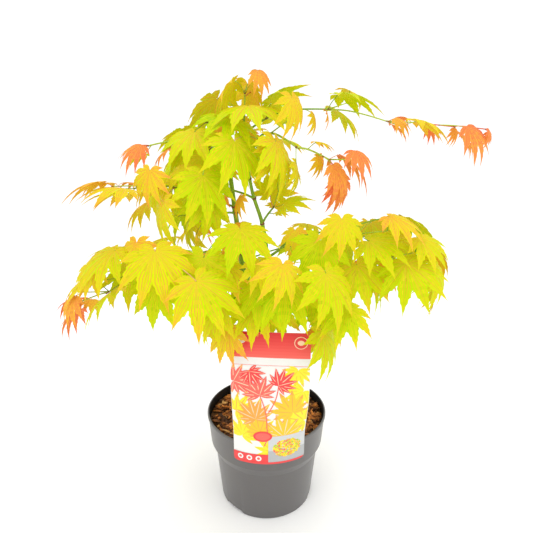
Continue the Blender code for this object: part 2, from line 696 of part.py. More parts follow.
def make_pot(finish):
    """The pot: a tapering body, a sloped shoulder, a tall band with a lip, and notches to drain it."""
    outer = [
        *pot_profile(),
        (RIM_RADIUS, POT_HEIGHT - 4),
        (RIM_RADIUS, POT_HEIGHT),
    ]
    inner = [(RIM_RADIUS - LIP - POT_WALL, POT_HEIGHT), *reversed(pot_profile(POT_WALL)[2:])]
    floor = [(BASE_RADIUS - POT_WALL, FLOOR_THICKNESS), (0, FLOOR_THICKNESS)]
    pot = turned("pot", [(0, 0), *outer, *inner, *floor], POT_SIDES, finish)
    cutters = helper_collection("drain_cutters")
    cutters.hide_render = True
    for k in range(DRAIN_NOTCHES):
        turn = Matrix.Rotation(math.radians(DRAIN_TURN) + 2 * math.pi * k / DRAIN_NOTCHES, 4, "Z")
        middle = Vector((BASE_RADIUS - DRAIN_DEPTH / 2 + 2, 0, DRAIN_HEIGHT / 2 - 1))
        half = Vector((DRAIN_DEPTH / 2 + 2, DRAIN_WIDTH / 2, DRAIN_HEIGHT / 2 + 1))
        corners = [
            turn @ (middle + Vector((half.x * x, half.y * y, half.z * z)))
            for z in (-1, 1) for y in (-1, 1) for x in (-1, 1)
        ]
        box = ((0, 2, 3, 1), (4, 5, 7, 6), (0, 1, 5, 4), (2, 6, 7, 3), (0, 4, 6, 2), (1, 3, 7, 5))
        cutter = new_object(f"drain_cutter_{k}", corners, box, None, cutters)
        cutter.hide_render = True
        cutter.display_type = "WIRE"
    boolean(pot, "DIFFERENCE", cutters)
    apply_and_clear(pot, cutters)
    return pot


def make_soil(finish):
    """Potting bark that fills the pot: a lumpy top, flat where the trunk stands."""
    clear = POT_WALL + GAP
    low = FLOOR_THICKNESS + GAP
    top_share = (SOIL_TOP - BAND_FOOT_HEIGHT) / (POT_HEIGHT - 5 - BAND_FOOT_HEIGHT)
    top_radius = mix(BAND_FOOT_RADIUS, RIM_RADIUS - LIP, top_share) - clear
    top = [(top_radius, SOIL_TOP), *((top_radius * s, SOIL_TOP) for s in (0.78, 0.5))]
    profile = [
        (0, low),
        (BASE_RADIUS - clear, low),
        (SHOULDER_RADIUS - clear, SHOULDER_HEIGHT),
        (BAND_FOOT_RADIUS - clear, BAND_FOOT_HEIGHT),
        *top,
        (SOIL_CALM_RADIUS, SOIL_TOP),
        (0, SOIL_TOP),
    ]
    soil = turned("soil", profile, POT_SIDES, finish)
    for vertex in soil.data.vertices:
        x, y, z = vertex.co / MM
        reach = math.hypot(x, y)
        if z > SOIL_TOP - 0.1 and SOIL_CALM_RADIUS + 1 < reach < top_radius - 1:
            lump = math.sin(x * 0.21 + 1.3) * math.cos(y * 0.17 - 0.4) + math.sin((x + y) * 0.11)
            vertex.co.z += SOIL_LUMP * lump / 2 * MM
    return soil


def make_label(finish):
    """The plant label: a plastic sheet round the front of the band, hooked over the rim by a tab."""
    label = new_object("label", *sheet_faces(LABEL_THICKNESS), finish)
    parts = helper_collection("label_parts")
    half = LABEL_TAB_WIDTH / 2
    inner = (RIM_RADIUS - LIP - POT_WALL) * math.cos(math.pi / POT_SIDES)
    inside = math.sqrt(inner**2 - half**2) - GAP
    sheet = RIM_RADIUS + GAP + LABEL_THICKNESS / 2
    over, foot = POT_HEIGHT + GAP, SOIL_TOP + SOIL_LUMP + 1.5
    path = [
        (sheet, over + LABEL_THICKNESS),
        (sheet, over),
        (inside, over),
        (inside - LABEL_TAB_LEAN, foot),
        (inside - LABEL_TAB_LEAN - LABEL_THICKNESS, foot),
        (inside - LABEL_THICKNESS, over + LABEL_THICKNESS),
    ]
    turn = Matrix.Rotation(math.radians(LABEL_TURN), 3, "Z")
    points = [turn @ Vector((x, -radius, z)) for x in (-half, half) for radius, z in path]
    n = len(path)
    faces = [tuple(range(n)), tuple(reversed(range(n, 2 * n)))]
    faces += [(k, n + k, n + (k + 1) % n, (k + 1) % n) for k in range(n)]
    tab = new_object("label_tab", points, faces, None, parts)
    recalculate(tab)
    boolean(label, "UNION", parts)
    apply_and_clear(label, parts)
    return label


def recalculate(obj):
    """Turns the faces of a closed mesh outwards."""
    shape = bmesh.new()
    shape.from_mesh(obj.data)
    bmesh.ops.recalc_face_normals(shape, faces=shape.faces)
    shape.to_mesh(obj.data)
    shape.free()


def parent_cutter(parent, paths, collection):
    """The parent limb made thicker by the gap, and longer at its tip, to cut what grows on it."""
    limb = next(item for item in LIMBS if item.name == parent)
    path = [p.copy() for p in paths[parent]]
    path[-1] += (path[-1] - path[-2]).normalized() * GAP
    radii = [r + GAP for r in spread_radii(limb.radii, LIMB_STEPS)]
    cutter = new_object(parent + "_cutter", *tube(path, radii, LIMB_SIDES), None, collection)
    cutter.hide_render = True
    return cutter


def make_limb(limb, paths, finish):
    """One bare limb, its foot cut to the surface of the limb that it grows on."""
    radii = spread_radii(limb.radii, LIMB_STEPS)
    obj = new_object(limb.name, *tube(paths[limb.name], radii, LIMB_SIDES, not limb.parent), finish)
    if limb.parent:
        cutters = helper_collection(limb.name + "_cutters")
        boolean(obj, "DIFFERENCE", parent_cutter(limb.parent, paths, cutters))
        apply_and_clear(obj, cutters)
        keep_largest(obj)
    obj.data.shade_smooth()
    return obj


def make_foliage(name, shoots, paths, radii, grown, finish):
    """One mass: its shoots, side twigs, stalks and leaves, fused into one solid."""
    obj = new_object("foliage_" + name, *tube(paths[name], radii[name], TWIG_SIDES), finish)
    shapes = helper_collection(name + "_shapes")
    for shoot in shoots:
        if shoot.name != name:
            stem = tube(paths[shoot.name], radii[shoot.name], TWIG_SIDES)
            new_object("shoot", *stem, None, shapes)
        leaves, twigs = grown[shoot.name]
        for start, end in twigs:
            reach = (end - start).normalized()
            new_object("twig", *tube([start, end + reach], [TWIG_RADIUS] * 2, TWIG_SIDES), None, shapes)
        for leaf in leaves:
            stalk = [leaf.root, stalk_end(leaf.frame, leaf.length)]
            widths = [PETIOLE_RADIUS, PETIOLE_TIP_RADIUS]
            new_object("stalk", *tube(stalk, widths, TWIG_SIDES), None, shapes)
            points, faces = plate(leaf_outline(leaf.length, leaf.youth), LEAF_THICKNESS)
            new_object("blade", [leaf.frame @ p for p in points], faces, None, shapes)
    boolean(obj, "UNION", shapes)
    cutters = helper_collection(name + "_cutters")
    boolean(obj, "DIFFERENCE", parent_cutter(shoots[0].parent, paths, cutters))
    apply_and_clear(obj, shapes, cutters)
    keep_largest(obj)
    return obj


def leaf_colour(youth):
    """Yellow-green for a grown leaf, through amber to coral for a young one."""
    green, amber, coral = (0.56, 0.62, 0.02), (0.80, 0.50, 0.06), (0.85, 0.22, 0.07)
    low, high, share = (green, amber, youth * 2) if youth < 0.5 else (amber, coral, youth * 2 - 1)
    return (*(mix(a, b, share) for a, b in zip(low, high)), 1)


def main():
    for obj in list(bpy.data.objects):
        bpy.data.objects.remove(obj)
    pot = make_pot(material("pot plastic", (0.045, 0.044, 0.042, 1), 0.42))
    make_soil(material("potting bark", (0.10, 0.05, 0.025, 1), 0.9))
    make_label(material("label sheet", (0.85, 0.80, 0.74, 1), 0.35))
    paths, radii, grown = plan_plant()
    brown = material("brown bark", BARK_BROWN, 0.7)
    green = material("green bark", STEM_GREEN, 0.5)
    for limb in LIMBS:
        make_limb(limb, paths, green if limb.parent else brown)
    for name, shoots in masses().items():
        youth = sum(sum(shoot.youth) / 2 for shoot in shoots) / len(shoots)
        finish = material("leaves " + name, leaf_colour(youth), 0.5)
        make_foliage(name, shoots, paths, radii, grown, finish)
    pot.data.shade_smooth()
    pot.data.set_sharp_from_angle(angle=math.radians(35))


if __name__ == "__main__":
    main()
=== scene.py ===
"""Looks of a young Japanese maple in its nursery pot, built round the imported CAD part.

The plan of the plant (its limbs, shoots and leaves) is the one of the CAD source, so that every leaf grows in
its own solid's place, and is carried on here to finer twigs, cut and toothed blades, bark and print.
"""

import json
import math
import random
from typing import NamedTuple

import bpy
import numpy as np
from mathutils import Matrix, Vector
from mathutils.bvhtree import BVHTree

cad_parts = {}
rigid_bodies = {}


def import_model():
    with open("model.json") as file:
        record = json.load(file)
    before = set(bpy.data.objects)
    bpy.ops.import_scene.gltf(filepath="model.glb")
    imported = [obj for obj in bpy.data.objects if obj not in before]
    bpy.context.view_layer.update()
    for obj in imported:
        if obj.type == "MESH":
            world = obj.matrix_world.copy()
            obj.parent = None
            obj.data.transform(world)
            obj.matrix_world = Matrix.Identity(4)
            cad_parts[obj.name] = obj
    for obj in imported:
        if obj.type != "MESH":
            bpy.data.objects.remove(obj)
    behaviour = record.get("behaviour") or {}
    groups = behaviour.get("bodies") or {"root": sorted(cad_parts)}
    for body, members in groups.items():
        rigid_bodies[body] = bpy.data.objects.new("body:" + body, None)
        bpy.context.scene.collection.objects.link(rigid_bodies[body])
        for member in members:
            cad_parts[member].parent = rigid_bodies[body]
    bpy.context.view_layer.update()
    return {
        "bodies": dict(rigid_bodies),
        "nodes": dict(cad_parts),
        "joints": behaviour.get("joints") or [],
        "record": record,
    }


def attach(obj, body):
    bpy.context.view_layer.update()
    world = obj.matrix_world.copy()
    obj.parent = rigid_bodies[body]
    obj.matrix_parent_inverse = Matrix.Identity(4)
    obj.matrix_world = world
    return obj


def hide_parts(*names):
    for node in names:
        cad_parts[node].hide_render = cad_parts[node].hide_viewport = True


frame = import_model()

MM = 0.001
UP = Vector((0, 0, 1))
GAP = 0.3  # left between two parts that touch in life

# --- sizes, in millimetres

POT_HEIGHT = 150
RIM_RADIUS = 95
BAND_FOOT_RADIUS, BAND_FOOT_HEIGHT = 90, 102  # where the tall rim band ends
SHOULDER_RADIUS, SHOULDER_HEIGHT = 82.8, 87  # where the sloped shoulder meets the body
BASE_RADIUS, BASE_CHAMFER = 74.8, 1.2
POT_WALL = 1.6
LIP = 1.4  # how far the rolled lip stands out of the band
DRAIN_NOTCHES = 3
DRAIN_TURN = 107  # degrees from +X to the first notch
DRAIN_WIDTH, DRAIN_HEIGHT = 34, 5

SOIL_TOP = 136
SOIL_LUMP = 2.2  # height of the bark's lumps

LABEL_WIDTH, LABEL_LOW, LABEL_HIGH = 108, 120, 326
LABEL_THICKNESS = 0.8
LABEL_CORNER = 6  # radius of its corners
LABEL_TURN = -5.6  # degrees that the place where it hugs the pot lies west of the front
LABEL_SPIN = Matrix.Rotation(math.radians(LABEL_TURN), 3, "Z")
LABEL_SHIFT = 14  # of its middle, east of that place
LABEL_FLAT_FROM = 260  # above this height the sheet has lost its curve
LABEL_TAB_WIDTH = 30

TWIG_SIDES = 3
LIMB_SIDES = 6
LEAF_THICKNESS = 1.0
PETIOLE_RADIUS = 0.65
PETIOLE_INSET = 0.05  # share of the blade's length between a stalk's end and the leaf's hub
CLEARANCE = 0.8  # kept round every leaf and stalk while they are placed
HANG = 12  # degrees that a leaf under its shoot hangs more, and one above it less, than its shoot's droop


class Limb(NamedTuple):
    """A bare, tapering limb through a few points, from its parent's axis to its tip."""

    name: str
    parent: str
    points: tuple
    radii: tuple


class Shoot(NamedTuple):
    """A leafy shoot: its parent and place on it, tip, upward bow, and pairs of leaves with their blades.

    A shoot on a limb starts a mass of foliage, and a shoot on a shoot belongs to its parent's mass."""

    name: str
    parent: str
    along: float  # share of its parent's length where it starts
    tip: tuple
    rise: float  # height of the bow
    pairs: int
    first: float  # share of its length where the first pair stands
    blade: tuple  # length of a blade at the first pair and at the last
    youth: tuple  # in the same way; 0 is a broad green leaf, 1 a narrow folded red one
    droop: float  # degrees that its leaves hang below the level
    seed: int
    hang: float = HANG


LIMBS = (
    Limb(
        "trunk",
        "",
        ((0, 0, 136.3), (-2, 0, 165), (-6, 0, 225), (-13, 2, 275), (-23, 4, 318), (-34, 8, 372),
         (-43, 12, 447), (-51, 16, 512), (-54, 18, 554), (-57, 19, 569)),
        (10.5, 7.6, 6.8, 6.2, 4.9, 4.3, 3.7, 3.2, 2.8, 2.1),
    ),
    Limb(
        "east_stem",
        "trunk",
        ((-10, 1, 252), (-2, -6, 310), (-1, -8, 372), (0, -9, 412), (-6, -12, 454), (-19, -16, 497),
         (-26, -20, 538)),
        (4.0, 3.7, 3.3, 3.0, 2.7, 2.3, 1.9),
    ),
    Limb("crest_limb", "trunk", ((-54, 18, 551), (-43, 15, 562), (-32, 12, 573)), (1.9, 1.8, 1.6)),
    Limb(
        "low_west_limb",
        "trunk",
        ((-35, 8, 374), (-58, -6, 392), (-85, -24, 397), (-113, -36, 394)),
        (2.3, 1.9, 1.7, 1.5),
    ),
    Limb(
        "low_east_limb",
        "east_stem",
        ((-2, -6, 360), (24, -24, 386), (50, -38, 393), (74, -46, 388)),
        (2.3, 1.9, 1.7, 1.5),
    ),
    Limb("mid_east_limb", "east_stem", ((0, -8, 402), (19, -26, 421), (34, -38, 443)), (2.1, 1.8, 1.6)),
    Limb("north_limb", "trunk", ((-31, 7, 349), (-26, 36, 368), (-17, 70, 374)), (2.3, 1.9, 1.6)),
)

SHOOTS = (
    Shoot("crest", "crest_limb", 1.0, (0, 9, 596), 2, 1, 1.0, (76, 62), (0.05, 0.1), -35, 511),
    Shoot("crest_span", "crest", 1.0, (84, -2, 607), 6, 1, 1.0, (66, 62), (0.05, 0.1), 23, 2950, 25),
    Shoot("crest_arch", "crest_span", 1.0, (182, -16, 584), 4, 2, 0.78, (36, 62), (0.8, 0.5), 4, 490, 10),
    Shoot("crest_far", "crest_arch", 1.0, (246, -26, 584), 1, 1, 1.0, (58, 56), (0.9, 0.9), 22, 742, 15),
    Shoot("crest_tip", "crest_far", 1.0, (283, -33, 581), 1, 1, 1.0, (28, 26), (1.0, 1.0), 49, 305, 0),
    Shoot("crest_top", "crest", 0.02, (-29, 8, 629), 0, 2, 0.5, (80, 62), (0.1, 0.35), 30, 575),
    Shoot("crest_top_tip", "crest_top", 1.0, (-14, 4, 653), 0, 1, 1.0, (40, 36), (0.6, 0.8), 18, 680),
    Shoot("west_crown", "trunk", 0.985, (-82, 2, 591), 8, 2, 0.5, (68, 66), (0.05, 0.15), 16, 1298, 32),
    Shoot("front_crown", "trunk", 0.925, (-22, -42, 573), 6, 1, 1.0, (78, 78), (0.15, 0.15), 49, 71, 22),
    Shoot("front_heart", "east_stem", 0.46, (-21, -84, 402), 6, 1, 1.0, (82, 64), (0.1, 0.2), 46, 196),
    Shoot("west_shoulder", "trunk", 0.95, (-108, -14, 565), 2, 2, 0.5, (72, 70), (0.1, 0.2), 38, 992, 2),
    Shoot("west_shoulder_tip", "west_shoulder", 1.0, (-158, -18, 560),
          3, 1, 1.0, (50, 48), (1.0, 1.0), 0, 129),
    Shoot("west_shoulder_front", "west_shoulder", 0.4, (-71, -52, 556),
          2, 1, 1.0, (64, 66), (0.1, 0.1), 47, 160, 0),
    Shoot("east_spray", "east_stem", 1.0, (40, -34, 558), 30, 2, 0.55, (74, 52), (0.2, 0.3), 61, 1117, 2),
    Shoot("east_spray_bend", "east_spray", 1.0, (82, -40, 543),
          3, 1, 1.0, (64, 64), (0.45, 0.85), 40, 733, 45),
    Shoot("east_spray_tip", "east_spray_bend", 1.0, (96, -44, 527),
          2, 1, 1.0, (60, 50), (1.0, 1.0), 64, 925, 0),
    Shoot("west_long", "east_stem", 0.83, (-64, -34, 508), 2, 1, 1.0, (64, 62), (0.15, 0.15), 41, 1179, 2),
    Shoot("west_long_middle", "west_long", 1.0, (-121, -46, 508),
          3, 1, 1.0, (66, 66), (0.2, 0.2), 54, 1425, 0),
    Shoot("west_long_end", "west_long_middle", 1.0, (-170, -54, 508),
          3, 1, 1.0, (66, 64), (0.4, 0.4), -23, 972, 2),
    Shoot("west_long_tip", "west_long_end", 1.0, (-197, -58, 511),
          1, 1, 1.0, (64, 58), (0.6, 0.7), -7, 380, 0),
    Shoot("west_inner", "trunk", 0.76, (-85, -44, 462), 4, 1, 1.0, (56, 54), (0.3, 0.3), 51, 361),
    Shoot("west_inner_tip", "west_inner", 1.0, (-114, -62, 474),
          2, 1, 1.0, (62, 60), (0.35, 0.35), 51, 474),
    Shoot("front_middle", "trunk", 0.71, (-55, -84, 455), 6, 1, 1.0, (78, 72), (0.1, 0.1), 36, 229),
    Shoot("low_west", "low_west_limb", 1.0, (-144, -62, 409), 6, 1, 1.0, (82, 78), (0.15, 0.15), 57, 431),
    Shoot("low_west_end", "low_west", 1.0, (-212, -70, 372), 6, 2, 0.5, (72, 62), (0.3, 0.5), 21, 6),
    Shoot("low_west_tip", "low_west_end", 1.0, (-249, -74, 360), 1, 1, 1.0, (66, 56), (0.9, 1.0), 16, 304),
    Shoot("low_west_up", "low_west", 0.75, (-151, -92, 431),
          4, 1, 1.0, (88, 76), (0.25, 0.25), 21, 1032, 2),
    Shoot("low_west_back", "low_west", 0.9, (-184, -22, 418), 4, 1, 1.0, (66, 62), (0.25, 0.25), 14, 204),
    Shoot("low_west_front", "low_west", 0.3, (-110, -122, 426),
          6, 1, 1.0, (84, 80), (0.15, 0.15), 34, 448, 32),
    Shoot("low_front", "trunk", 0.5, (-44, -56, 381), 6, 1, 1.0, (60, 58), (0.05, 0.05), 38, 598),
    Shoot("low_front_middle", "low_front", 1.0, (-37, -86, 367), 2, 1, 1.0, (70, 62), (0.2, 0.3), 32, 374),
    Shoot("low_front_tip", "low_front_middle", 1.0, (-59, -84, 349),
          0, 1, 1.0, (62, 60), (0.35, 0.4), 36, 610),
    Shoot("east_heart", "east_stem", 0.34, (24, -58, 362), 4, 1, 1.0, (62, 60), (0.05, 0.05), 48, 197),
    Shoot("east_heart_tip", "east_heart", 1.0, (69, -74, 325), 2, 1, 1.0, (66, 70), (0.1, 0.1), 46, 9),
    Shoot("low_east", "low_east_limb", 1.0, (115, -58, 400), 6, 1, 1.0, (70, 68), (0.1, 0.1), 28, 208),
    Shoot("low_east_end", "low_east", 1.0, (159, -68, 419), 6, 1, 1.0, (78, 72), (0.1, 0.15), 34, 246),
    Shoot("low_east_tip", "low_east_end", 1.0, (215, -66, 399), 3, 2, 0.6, (62, 60), (0.2, 0.4), 51, 424),
    Shoot("low_east_front", "low_east", 0.15, (51, -112, 403), 8, 1, 1.0, (82, 76), (0.1, 0.1), 40, 243),
    Shoot("low_east_drop", "low_east_front", 0.8, (94, -100, 372),
          2, 1, 1.0, (66, 62), (0.15, 0.2), 30, 278),
    Shoot("middle_east", "mid_east_limb", 1.0, (73, -62, 447), 6, 1, 1.0, (78, 72), (0.15, 0.2), 63, 389),
    Shoot("middle_east_end", "middle_east", 1.0, (119, -64, 450), 5, 1, 1.0, (76, 74), (0.2, 0.2), 8, 367),
    Shoot("middle_east_tip", "middle_east_end", 1.0, (169, -64, 474),
          5, 1, 1.0, (74, 70), (0.15, 0.15), 34, 1860, 0),
    Shoot("inner_east", "east_stem", 0.7, (10, -4, 476), 2, 1, 1.0, (60, 52), (0.1, 0.1), -37, 357),
    Shoot("north_upper", "trunk", 0.9, (-132, 104, 554), 8, 2, 0.45, (66, 60), (0.1, 0.3), 28, 52),
    Shoot("north_crest", "trunk", 0.93, (15, 96, 551), 8, 2, 0.5, (60, 56), (0.1, 0.3), 26, 252),
    Shoot("north_west", "trunk", 0.78, (-178, 104, 478), 8, 2, 0.4, (68, 60), (0.1, 0.4), 30, 32),
    Shoot("north_low_west", "trunk", 0.62, (-198, 100, 367), 8, 2, 0.4, (70, 60), (0.1, 0.4), 16, 133),
    Shoot("north_low", "north_limb", 1.0, (-56, 160, 350), 8, 2, 0.5, (70, 62), (0.1, 0.3), 36, 217),
    Shoot("north_east", "north_low", 0.25, (170, 116, 408), 8, 2, 0.35, (68, 60), (0.1, 0.3), 36, 147),
    Shoot("north_low_east", "north_low", 0.1, (119, 74, 332), 8, 2, 0.5, (68, 60), (0.1, 0.3), 26, 166),
)

# --- plan of the plant, as in the CAD source

SHOOT_RADIUS, SHOOT_TIP_RADIUS = 1.3, 0.6
SHOOT_TAPER = 0.78  # radius at a shoot's tip, as a share of that at its foot
BRANCH_SHARE = 0.85  # radius of a side branch, as a share of its parent's there
TWIG_RADIUS = 0.7
SHOOT_STEPS = 4
LIMB_STEPS = 3  # rings between two points of a limb
LOBES = ((0, 1.0), (31, 0.96), (64, 0.84), (102, 0.58))  # degrees from the midrib, share of the length
YOUNG = 0.6  # youth from which a leaf lacks its lowest lobes
STALK_CLEAR_FROM = 4  # nearer to its node a stalk may touch its neighbours
TRIES = 18  # places tried for a leaf before it is skipped
STALK_SHARE = (0.34, 0.6)  # length of a stalk, as a share of its blade's
STALK_AHEAD = (0.3, 0.8)  # how far a stalk leans along its shoot
STALK_LOWEST = -0.35  # steepest way down that a stalk takes
LEAF_TURN, LEAF_TURN_MORE = 20, 4  # degrees round the shoot, at first and more with each try
HEADING_TURN, HEADING_TURN_MORE = 32, 3  # degrees that a midrib swings level, in the same way
DROOP_SPREAD, DROOP_YOUNG = (-16, 20), 12  # degrees
HEADING_STALK, HEADING_SHOOT, HEADING_OUT = 0.7, 0.35, 0.45  # what a midrib follows: stalk, shoot, outwards
LEAF_ROLL = 22  # degrees about its midrib, either way
SIZE_SPREAD = (0.92, 1.06)
LEAF_LOWEST = 180  # height that no leaf hangs below
TWIG_CHANCE = 0.3  # of a side twig beside a leaf
TWIG_SHARE, TWIG_LEAF_SHARE = 0.55, 0.8  # length of a side twig and of its leaf, to that of the leaf by it
TWIG_AGE = 0.25  # how much younger the leaf of a side twig is


def mix(a, b, share):
    return a + (b - a) * share


def smooth_path(points, steps):
    """A Catmull-Rom curve through the points, with steps pieces between each two."""
    ends = [points[0] * 2 - points[1], *points, points[-1] * 2 - points[-2]]
    path = []
    for i in range(len(points) - 1):
        before, start, end, after = ends[i : i + 4]
        for k in range(steps):
            t = k / steps
            path.append(
                (start * 2 + (end - before) * t
                 + (before * 2 - start * 5 + end * 4 - after) * t**2
                 + (start * 3 - before - end * 3 + after) * t**3) / 2
            )
    return [*path, points[-1].copy()]


def spread_radii(radii, steps):
    """Radii for smooth_path's points, straight between the given ones."""
    fine = [mix(radii[i], radii[i + 1], k / steps) for i in range(len(radii) - 1) for k in range(steps)]
    return [*fine, radii[-1]]


def place_on(path, along):
    """The point and the direction at a share of the path's length."""
    lengths = [(b - a).length for a, b in zip(path, path[1:])]
    left = along * sum(lengths)
    for a, b, length in zip(path, path[1:], lengths):
        if left <= length:
            break
        left -= length
    return a.lerp(b, min(1, left / length)), (b - a).normalized()


def shoot_path(shoot, paths):
    """An arching path from its parent's axis to the shoot's tip."""
    start, _ = place_on(paths[shoot.parent], shoot.along)
    tip = Vector(shoot.tip)
    path = []
    for k in range(SHOOT_STEPS + 1):
        t = k / SHOOT_STEPS
        bow = shoot.rise * math.sin(math.pi * t**0.7)
        path.append(start.lerp(tip, t) + UP * bow)
    return path


def shoot_radii(shoot, ends):
    """Radii along a shoot, which carries its parent on or branches off thinner, and notes its two ends."""
    if shoot.parent in ends:
        start = mix(*ends[shoot.parent], shoot.along) * (1 if shoot.along == 1 else BRANCH_SHARE)
    else:
        start = SHOOT_RADIUS
    ends[shoot.name] = (start, max(SHOOT_TIP_RADIUS, start * SHOOT_TAPER))
    return [mix(*ends[shoot.name], k / SHOOT_STEPS) for k in range(SHOOT_STEPS + 1)]


def masses():
    """The masses of foliage, as lists of shoots with the one that starts the mass first."""
    found = {}
    for shoot in SHOOTS:
        mass = next((m for m in found.values() if shoot.parent in [s.name for s in m]), None)
        if mass:
            mass.append(shoot)
        else:
            found[shoot.name] = [shoot]
    return found


MASSED = [(mass, shoot) for mass, shoots in masses().items() for shoot in shoots]  # in the order of growth


def leaf_point(degrees, reach, length, fold):
    """A point of the blade and the way its upper side faces there; the blade bends down from the hub."""
    a, bend = math.radians(degrees), fold * reach
    across = Vector((math.sin(a), math.cos(a), 0))
    point = (across * math.cos(bend) - UP * math.sin(bend)) * reach * length
    return point, across * math.sin(bend) + UP * math.cos(bend)


def leaf_outline(length, youth):
    """The edge of a blade about its hub, with the way it faces: Y is along the midrib, Z its upper side."""
    spread = mix(1.0, 0.68, youth)
    notch = mix(0.54, 0.36, youth)
    fold = math.radians(mix(14, 36, youth))
    lobes = LOBES if youth < YOUNG else LOBES[:-1]
    right = []
    for i, (angle, reach) in enumerate(lobes):
        right.append((angle * spread, reach))
        if i + 1 < len(lobes):
            next_angle, next_reach = lobes[i + 1]
            right.append(((angle + next_angle) / 2 * spread, notch * (reach + next_reach) / 2))
    round_leaf = [*right, (180, 0.1), *((-angle, reach) for angle, reach in reversed(right[1:]))]
    return [leaf_point(angle, reach, length, fold) for angle, reach in round_leaf]


def leaf_frame(hub, heading, droop, roll):
    """The matrix that puts a leaf at its hub, its midrib drooping along the heading."""
    midrib = heading * math.cos(droop) - UP * math.sin(droop)
    upper = heading * math.sin(droop) + UP * math.cos(droop)
    upper = Matrix.Rotation(roll, 3, midrib) @ upper
    frame = Matrix((midrib.cross(upper), midrib, upper)).transposed().to_4x4()
    frame.translation = hub
    return frame


def stalk_end(frame, length):
    """Where a stalk ends inside the blade, just behind the hub."""
    return frame @ Vector((0, -PETIOLE_INSET * length, 0))


def plate(edge, thickness):
    """Points and faces of a closed thin leaf: a fan over the edge, and another under it."""
    half = thickness / 2
    n = len(edge)
    points = [UP * half, *(p + facing * half for p, facing in edge)]
    points += [-UP * half, *(p - facing * half for p, facing in edge)]
    faces = []
    for i in range(n):
        j = (i + 1) % n
        faces.append((0, 1 + j, 1 + i))
        faces.append((n + 1, n + 2 + i, n + 2 + j))
        faces.append((1 + i, 1 + j, n + 2 + j, n + 2 + i))
    return points, faces


def tube(path, radii, sides):
    """Points and faces of a closed tapering tube along the path, its ends flat."""
    points = []
    across = None
    for i, centre in enumerate(path):
        ahead = (path[min(i + 1, len(path) - 1)] - path[max(i - 1, 0)]).normalized()
        if across is None:
            across = ahead.orthogonal().normalized()
        across = (across - ahead * across.dot(ahead)).normalized()
        beside = ahead.cross(across)
        for k in range(sides):
            a = 2 * math.pi * k / sides
            points.append(centre + (across * math.cos(a) + beside * math.sin(a)) * radii[i])
    last = len(points) - sides
    faces = [
        (i + k, i + (k + 1) % sides, i + sides + (k + 1) % sides, i + sides + k)
        for i in range(0, last, sides)
        for k in range(sides)
    ]
    return points, [*faces, tuple(reversed(range(sides))), tuple(range(last, last + sides))]


def ball_round(points):
    """The middle of a ball round the points, and its radius."""
    middle = sum(points, Vector()) / len(points)
    return middle, max((p - middle).length for p in points)


class Space:
    """What is already placed, as search trees that know their owner and their reach."""

    def __init__(self):
        self.held = []

    def add(self, owner, kind, points, faces):
        self.held.append((owner, kind, *ball_round(points), BVHTree.FromPolygons(points, faces)))

    def free(self, points, faces, own=None, kinds=("stem",)):
        """True if the shape touches nothing held, apart from those kinds of its own mass."""
        middle, reach = ball_round(points)
        tree = None
        for owner, kind, other, other_reach, other_tree in self.held:
            skipped = own == owner and kind in kinds
            if skipped or (middle - other).length > reach + other_reach:
                continue
            tree = tree or BVHTree.FromPolygons(points, faces)
            if tree.overlap(other_tree):
                return False
        return True


class Leaf(NamedTuple):
    """A leaf as placed: where its stalk starts and ends, its frame, its length and its youth."""

    root: Vector
    hub: Vector
    frame: Matrix
    length: float
    youth: float


def try_leaf(rng, space, mass, shoot, node, ahead, roll, length, youth):
    """A leaf on its stalk at a node of a shoot, in the first place tried that is free."""
    side = ahead.cross(UP)
    side = side.normalized() if side.length > 0.2 else Vector((1, 0, 0))
    above = side.cross(ahead)
    outward = Vector((node.x, node.y, 0)).normalized()
    for attempt in range(TRIES):
        turn = roll + math.radians(rng.uniform(-1, 1) * (LEAF_TURN + LEAF_TURN_MORE * attempt))
        out = side * math.cos(turn) + above * math.sin(turn)
        stalk = (out + ahead * rng.uniform(*STALK_AHEAD)).normalized()
        if stalk.z < STALK_LOWEST:
            stalk = Vector((stalk.x, stalk.y, STALK_LOWEST)).normalized()
        hub = node + stalk * length * rng.uniform(*STALK_SHARE) * mix(1, 0.5, youth)
        level, onward = Vector((stalk.x, stalk.y, 0)), Vector((ahead.x, ahead.y, 0))
        heading = level * HEADING_STALK + onward * HEADING_SHOOT + outward * HEADING_OUT
        heading = heading.normalized() if heading.length > 0.05 else outward
        swing = math.radians(rng.uniform(-1, 1) * (HEADING_TURN + HEADING_TURN_MORE * attempt))
        heading = Matrix.Rotation(swing, 3, UP) @ heading
        droop = shoot.droop + DROOP_YOUNG * youth + rng.uniform(*DROOP_SPREAD)
        droop -= shoot.hang * math.sin(turn)
        roll_over = math.radians(rng.uniform(-LEAF_ROLL, LEAF_ROLL))
        frame = leaf_frame(hub, heading, math.radians(droop), roll_over)
        size = length * rng.uniform(*SIZE_SPREAD)
        points, faces = plate(leaf_outline(size, youth), LEAF_THICKNESS + CLEARANCE)
        points = [frame @ p for p in points]
        start = node + stalk * STALK_CLEAR_FROM
        end = stalk_end(frame, size)
        stem = tube([start, end], [PETIOLE_RADIUS + CLEARANCE / 2] * 2, TWIG_SIDES)
        foot = tube([node, start], [PETIOLE_RADIUS + GAP / 2] * 2, TWIG_SIDES)
        clear = min(p.z for p in points) > LEAF_LOWEST and space.free(points, faces)
        if clear and space.free(*stem, mass) and space.free(*foot, mass, ("stem", "stalk", "leaf")):
            space.add(mass, "leaf", points, faces)
            space.add(mass, "stalk", *stem)
            return Leaf(node, hub, frame, size, youth)
    return None


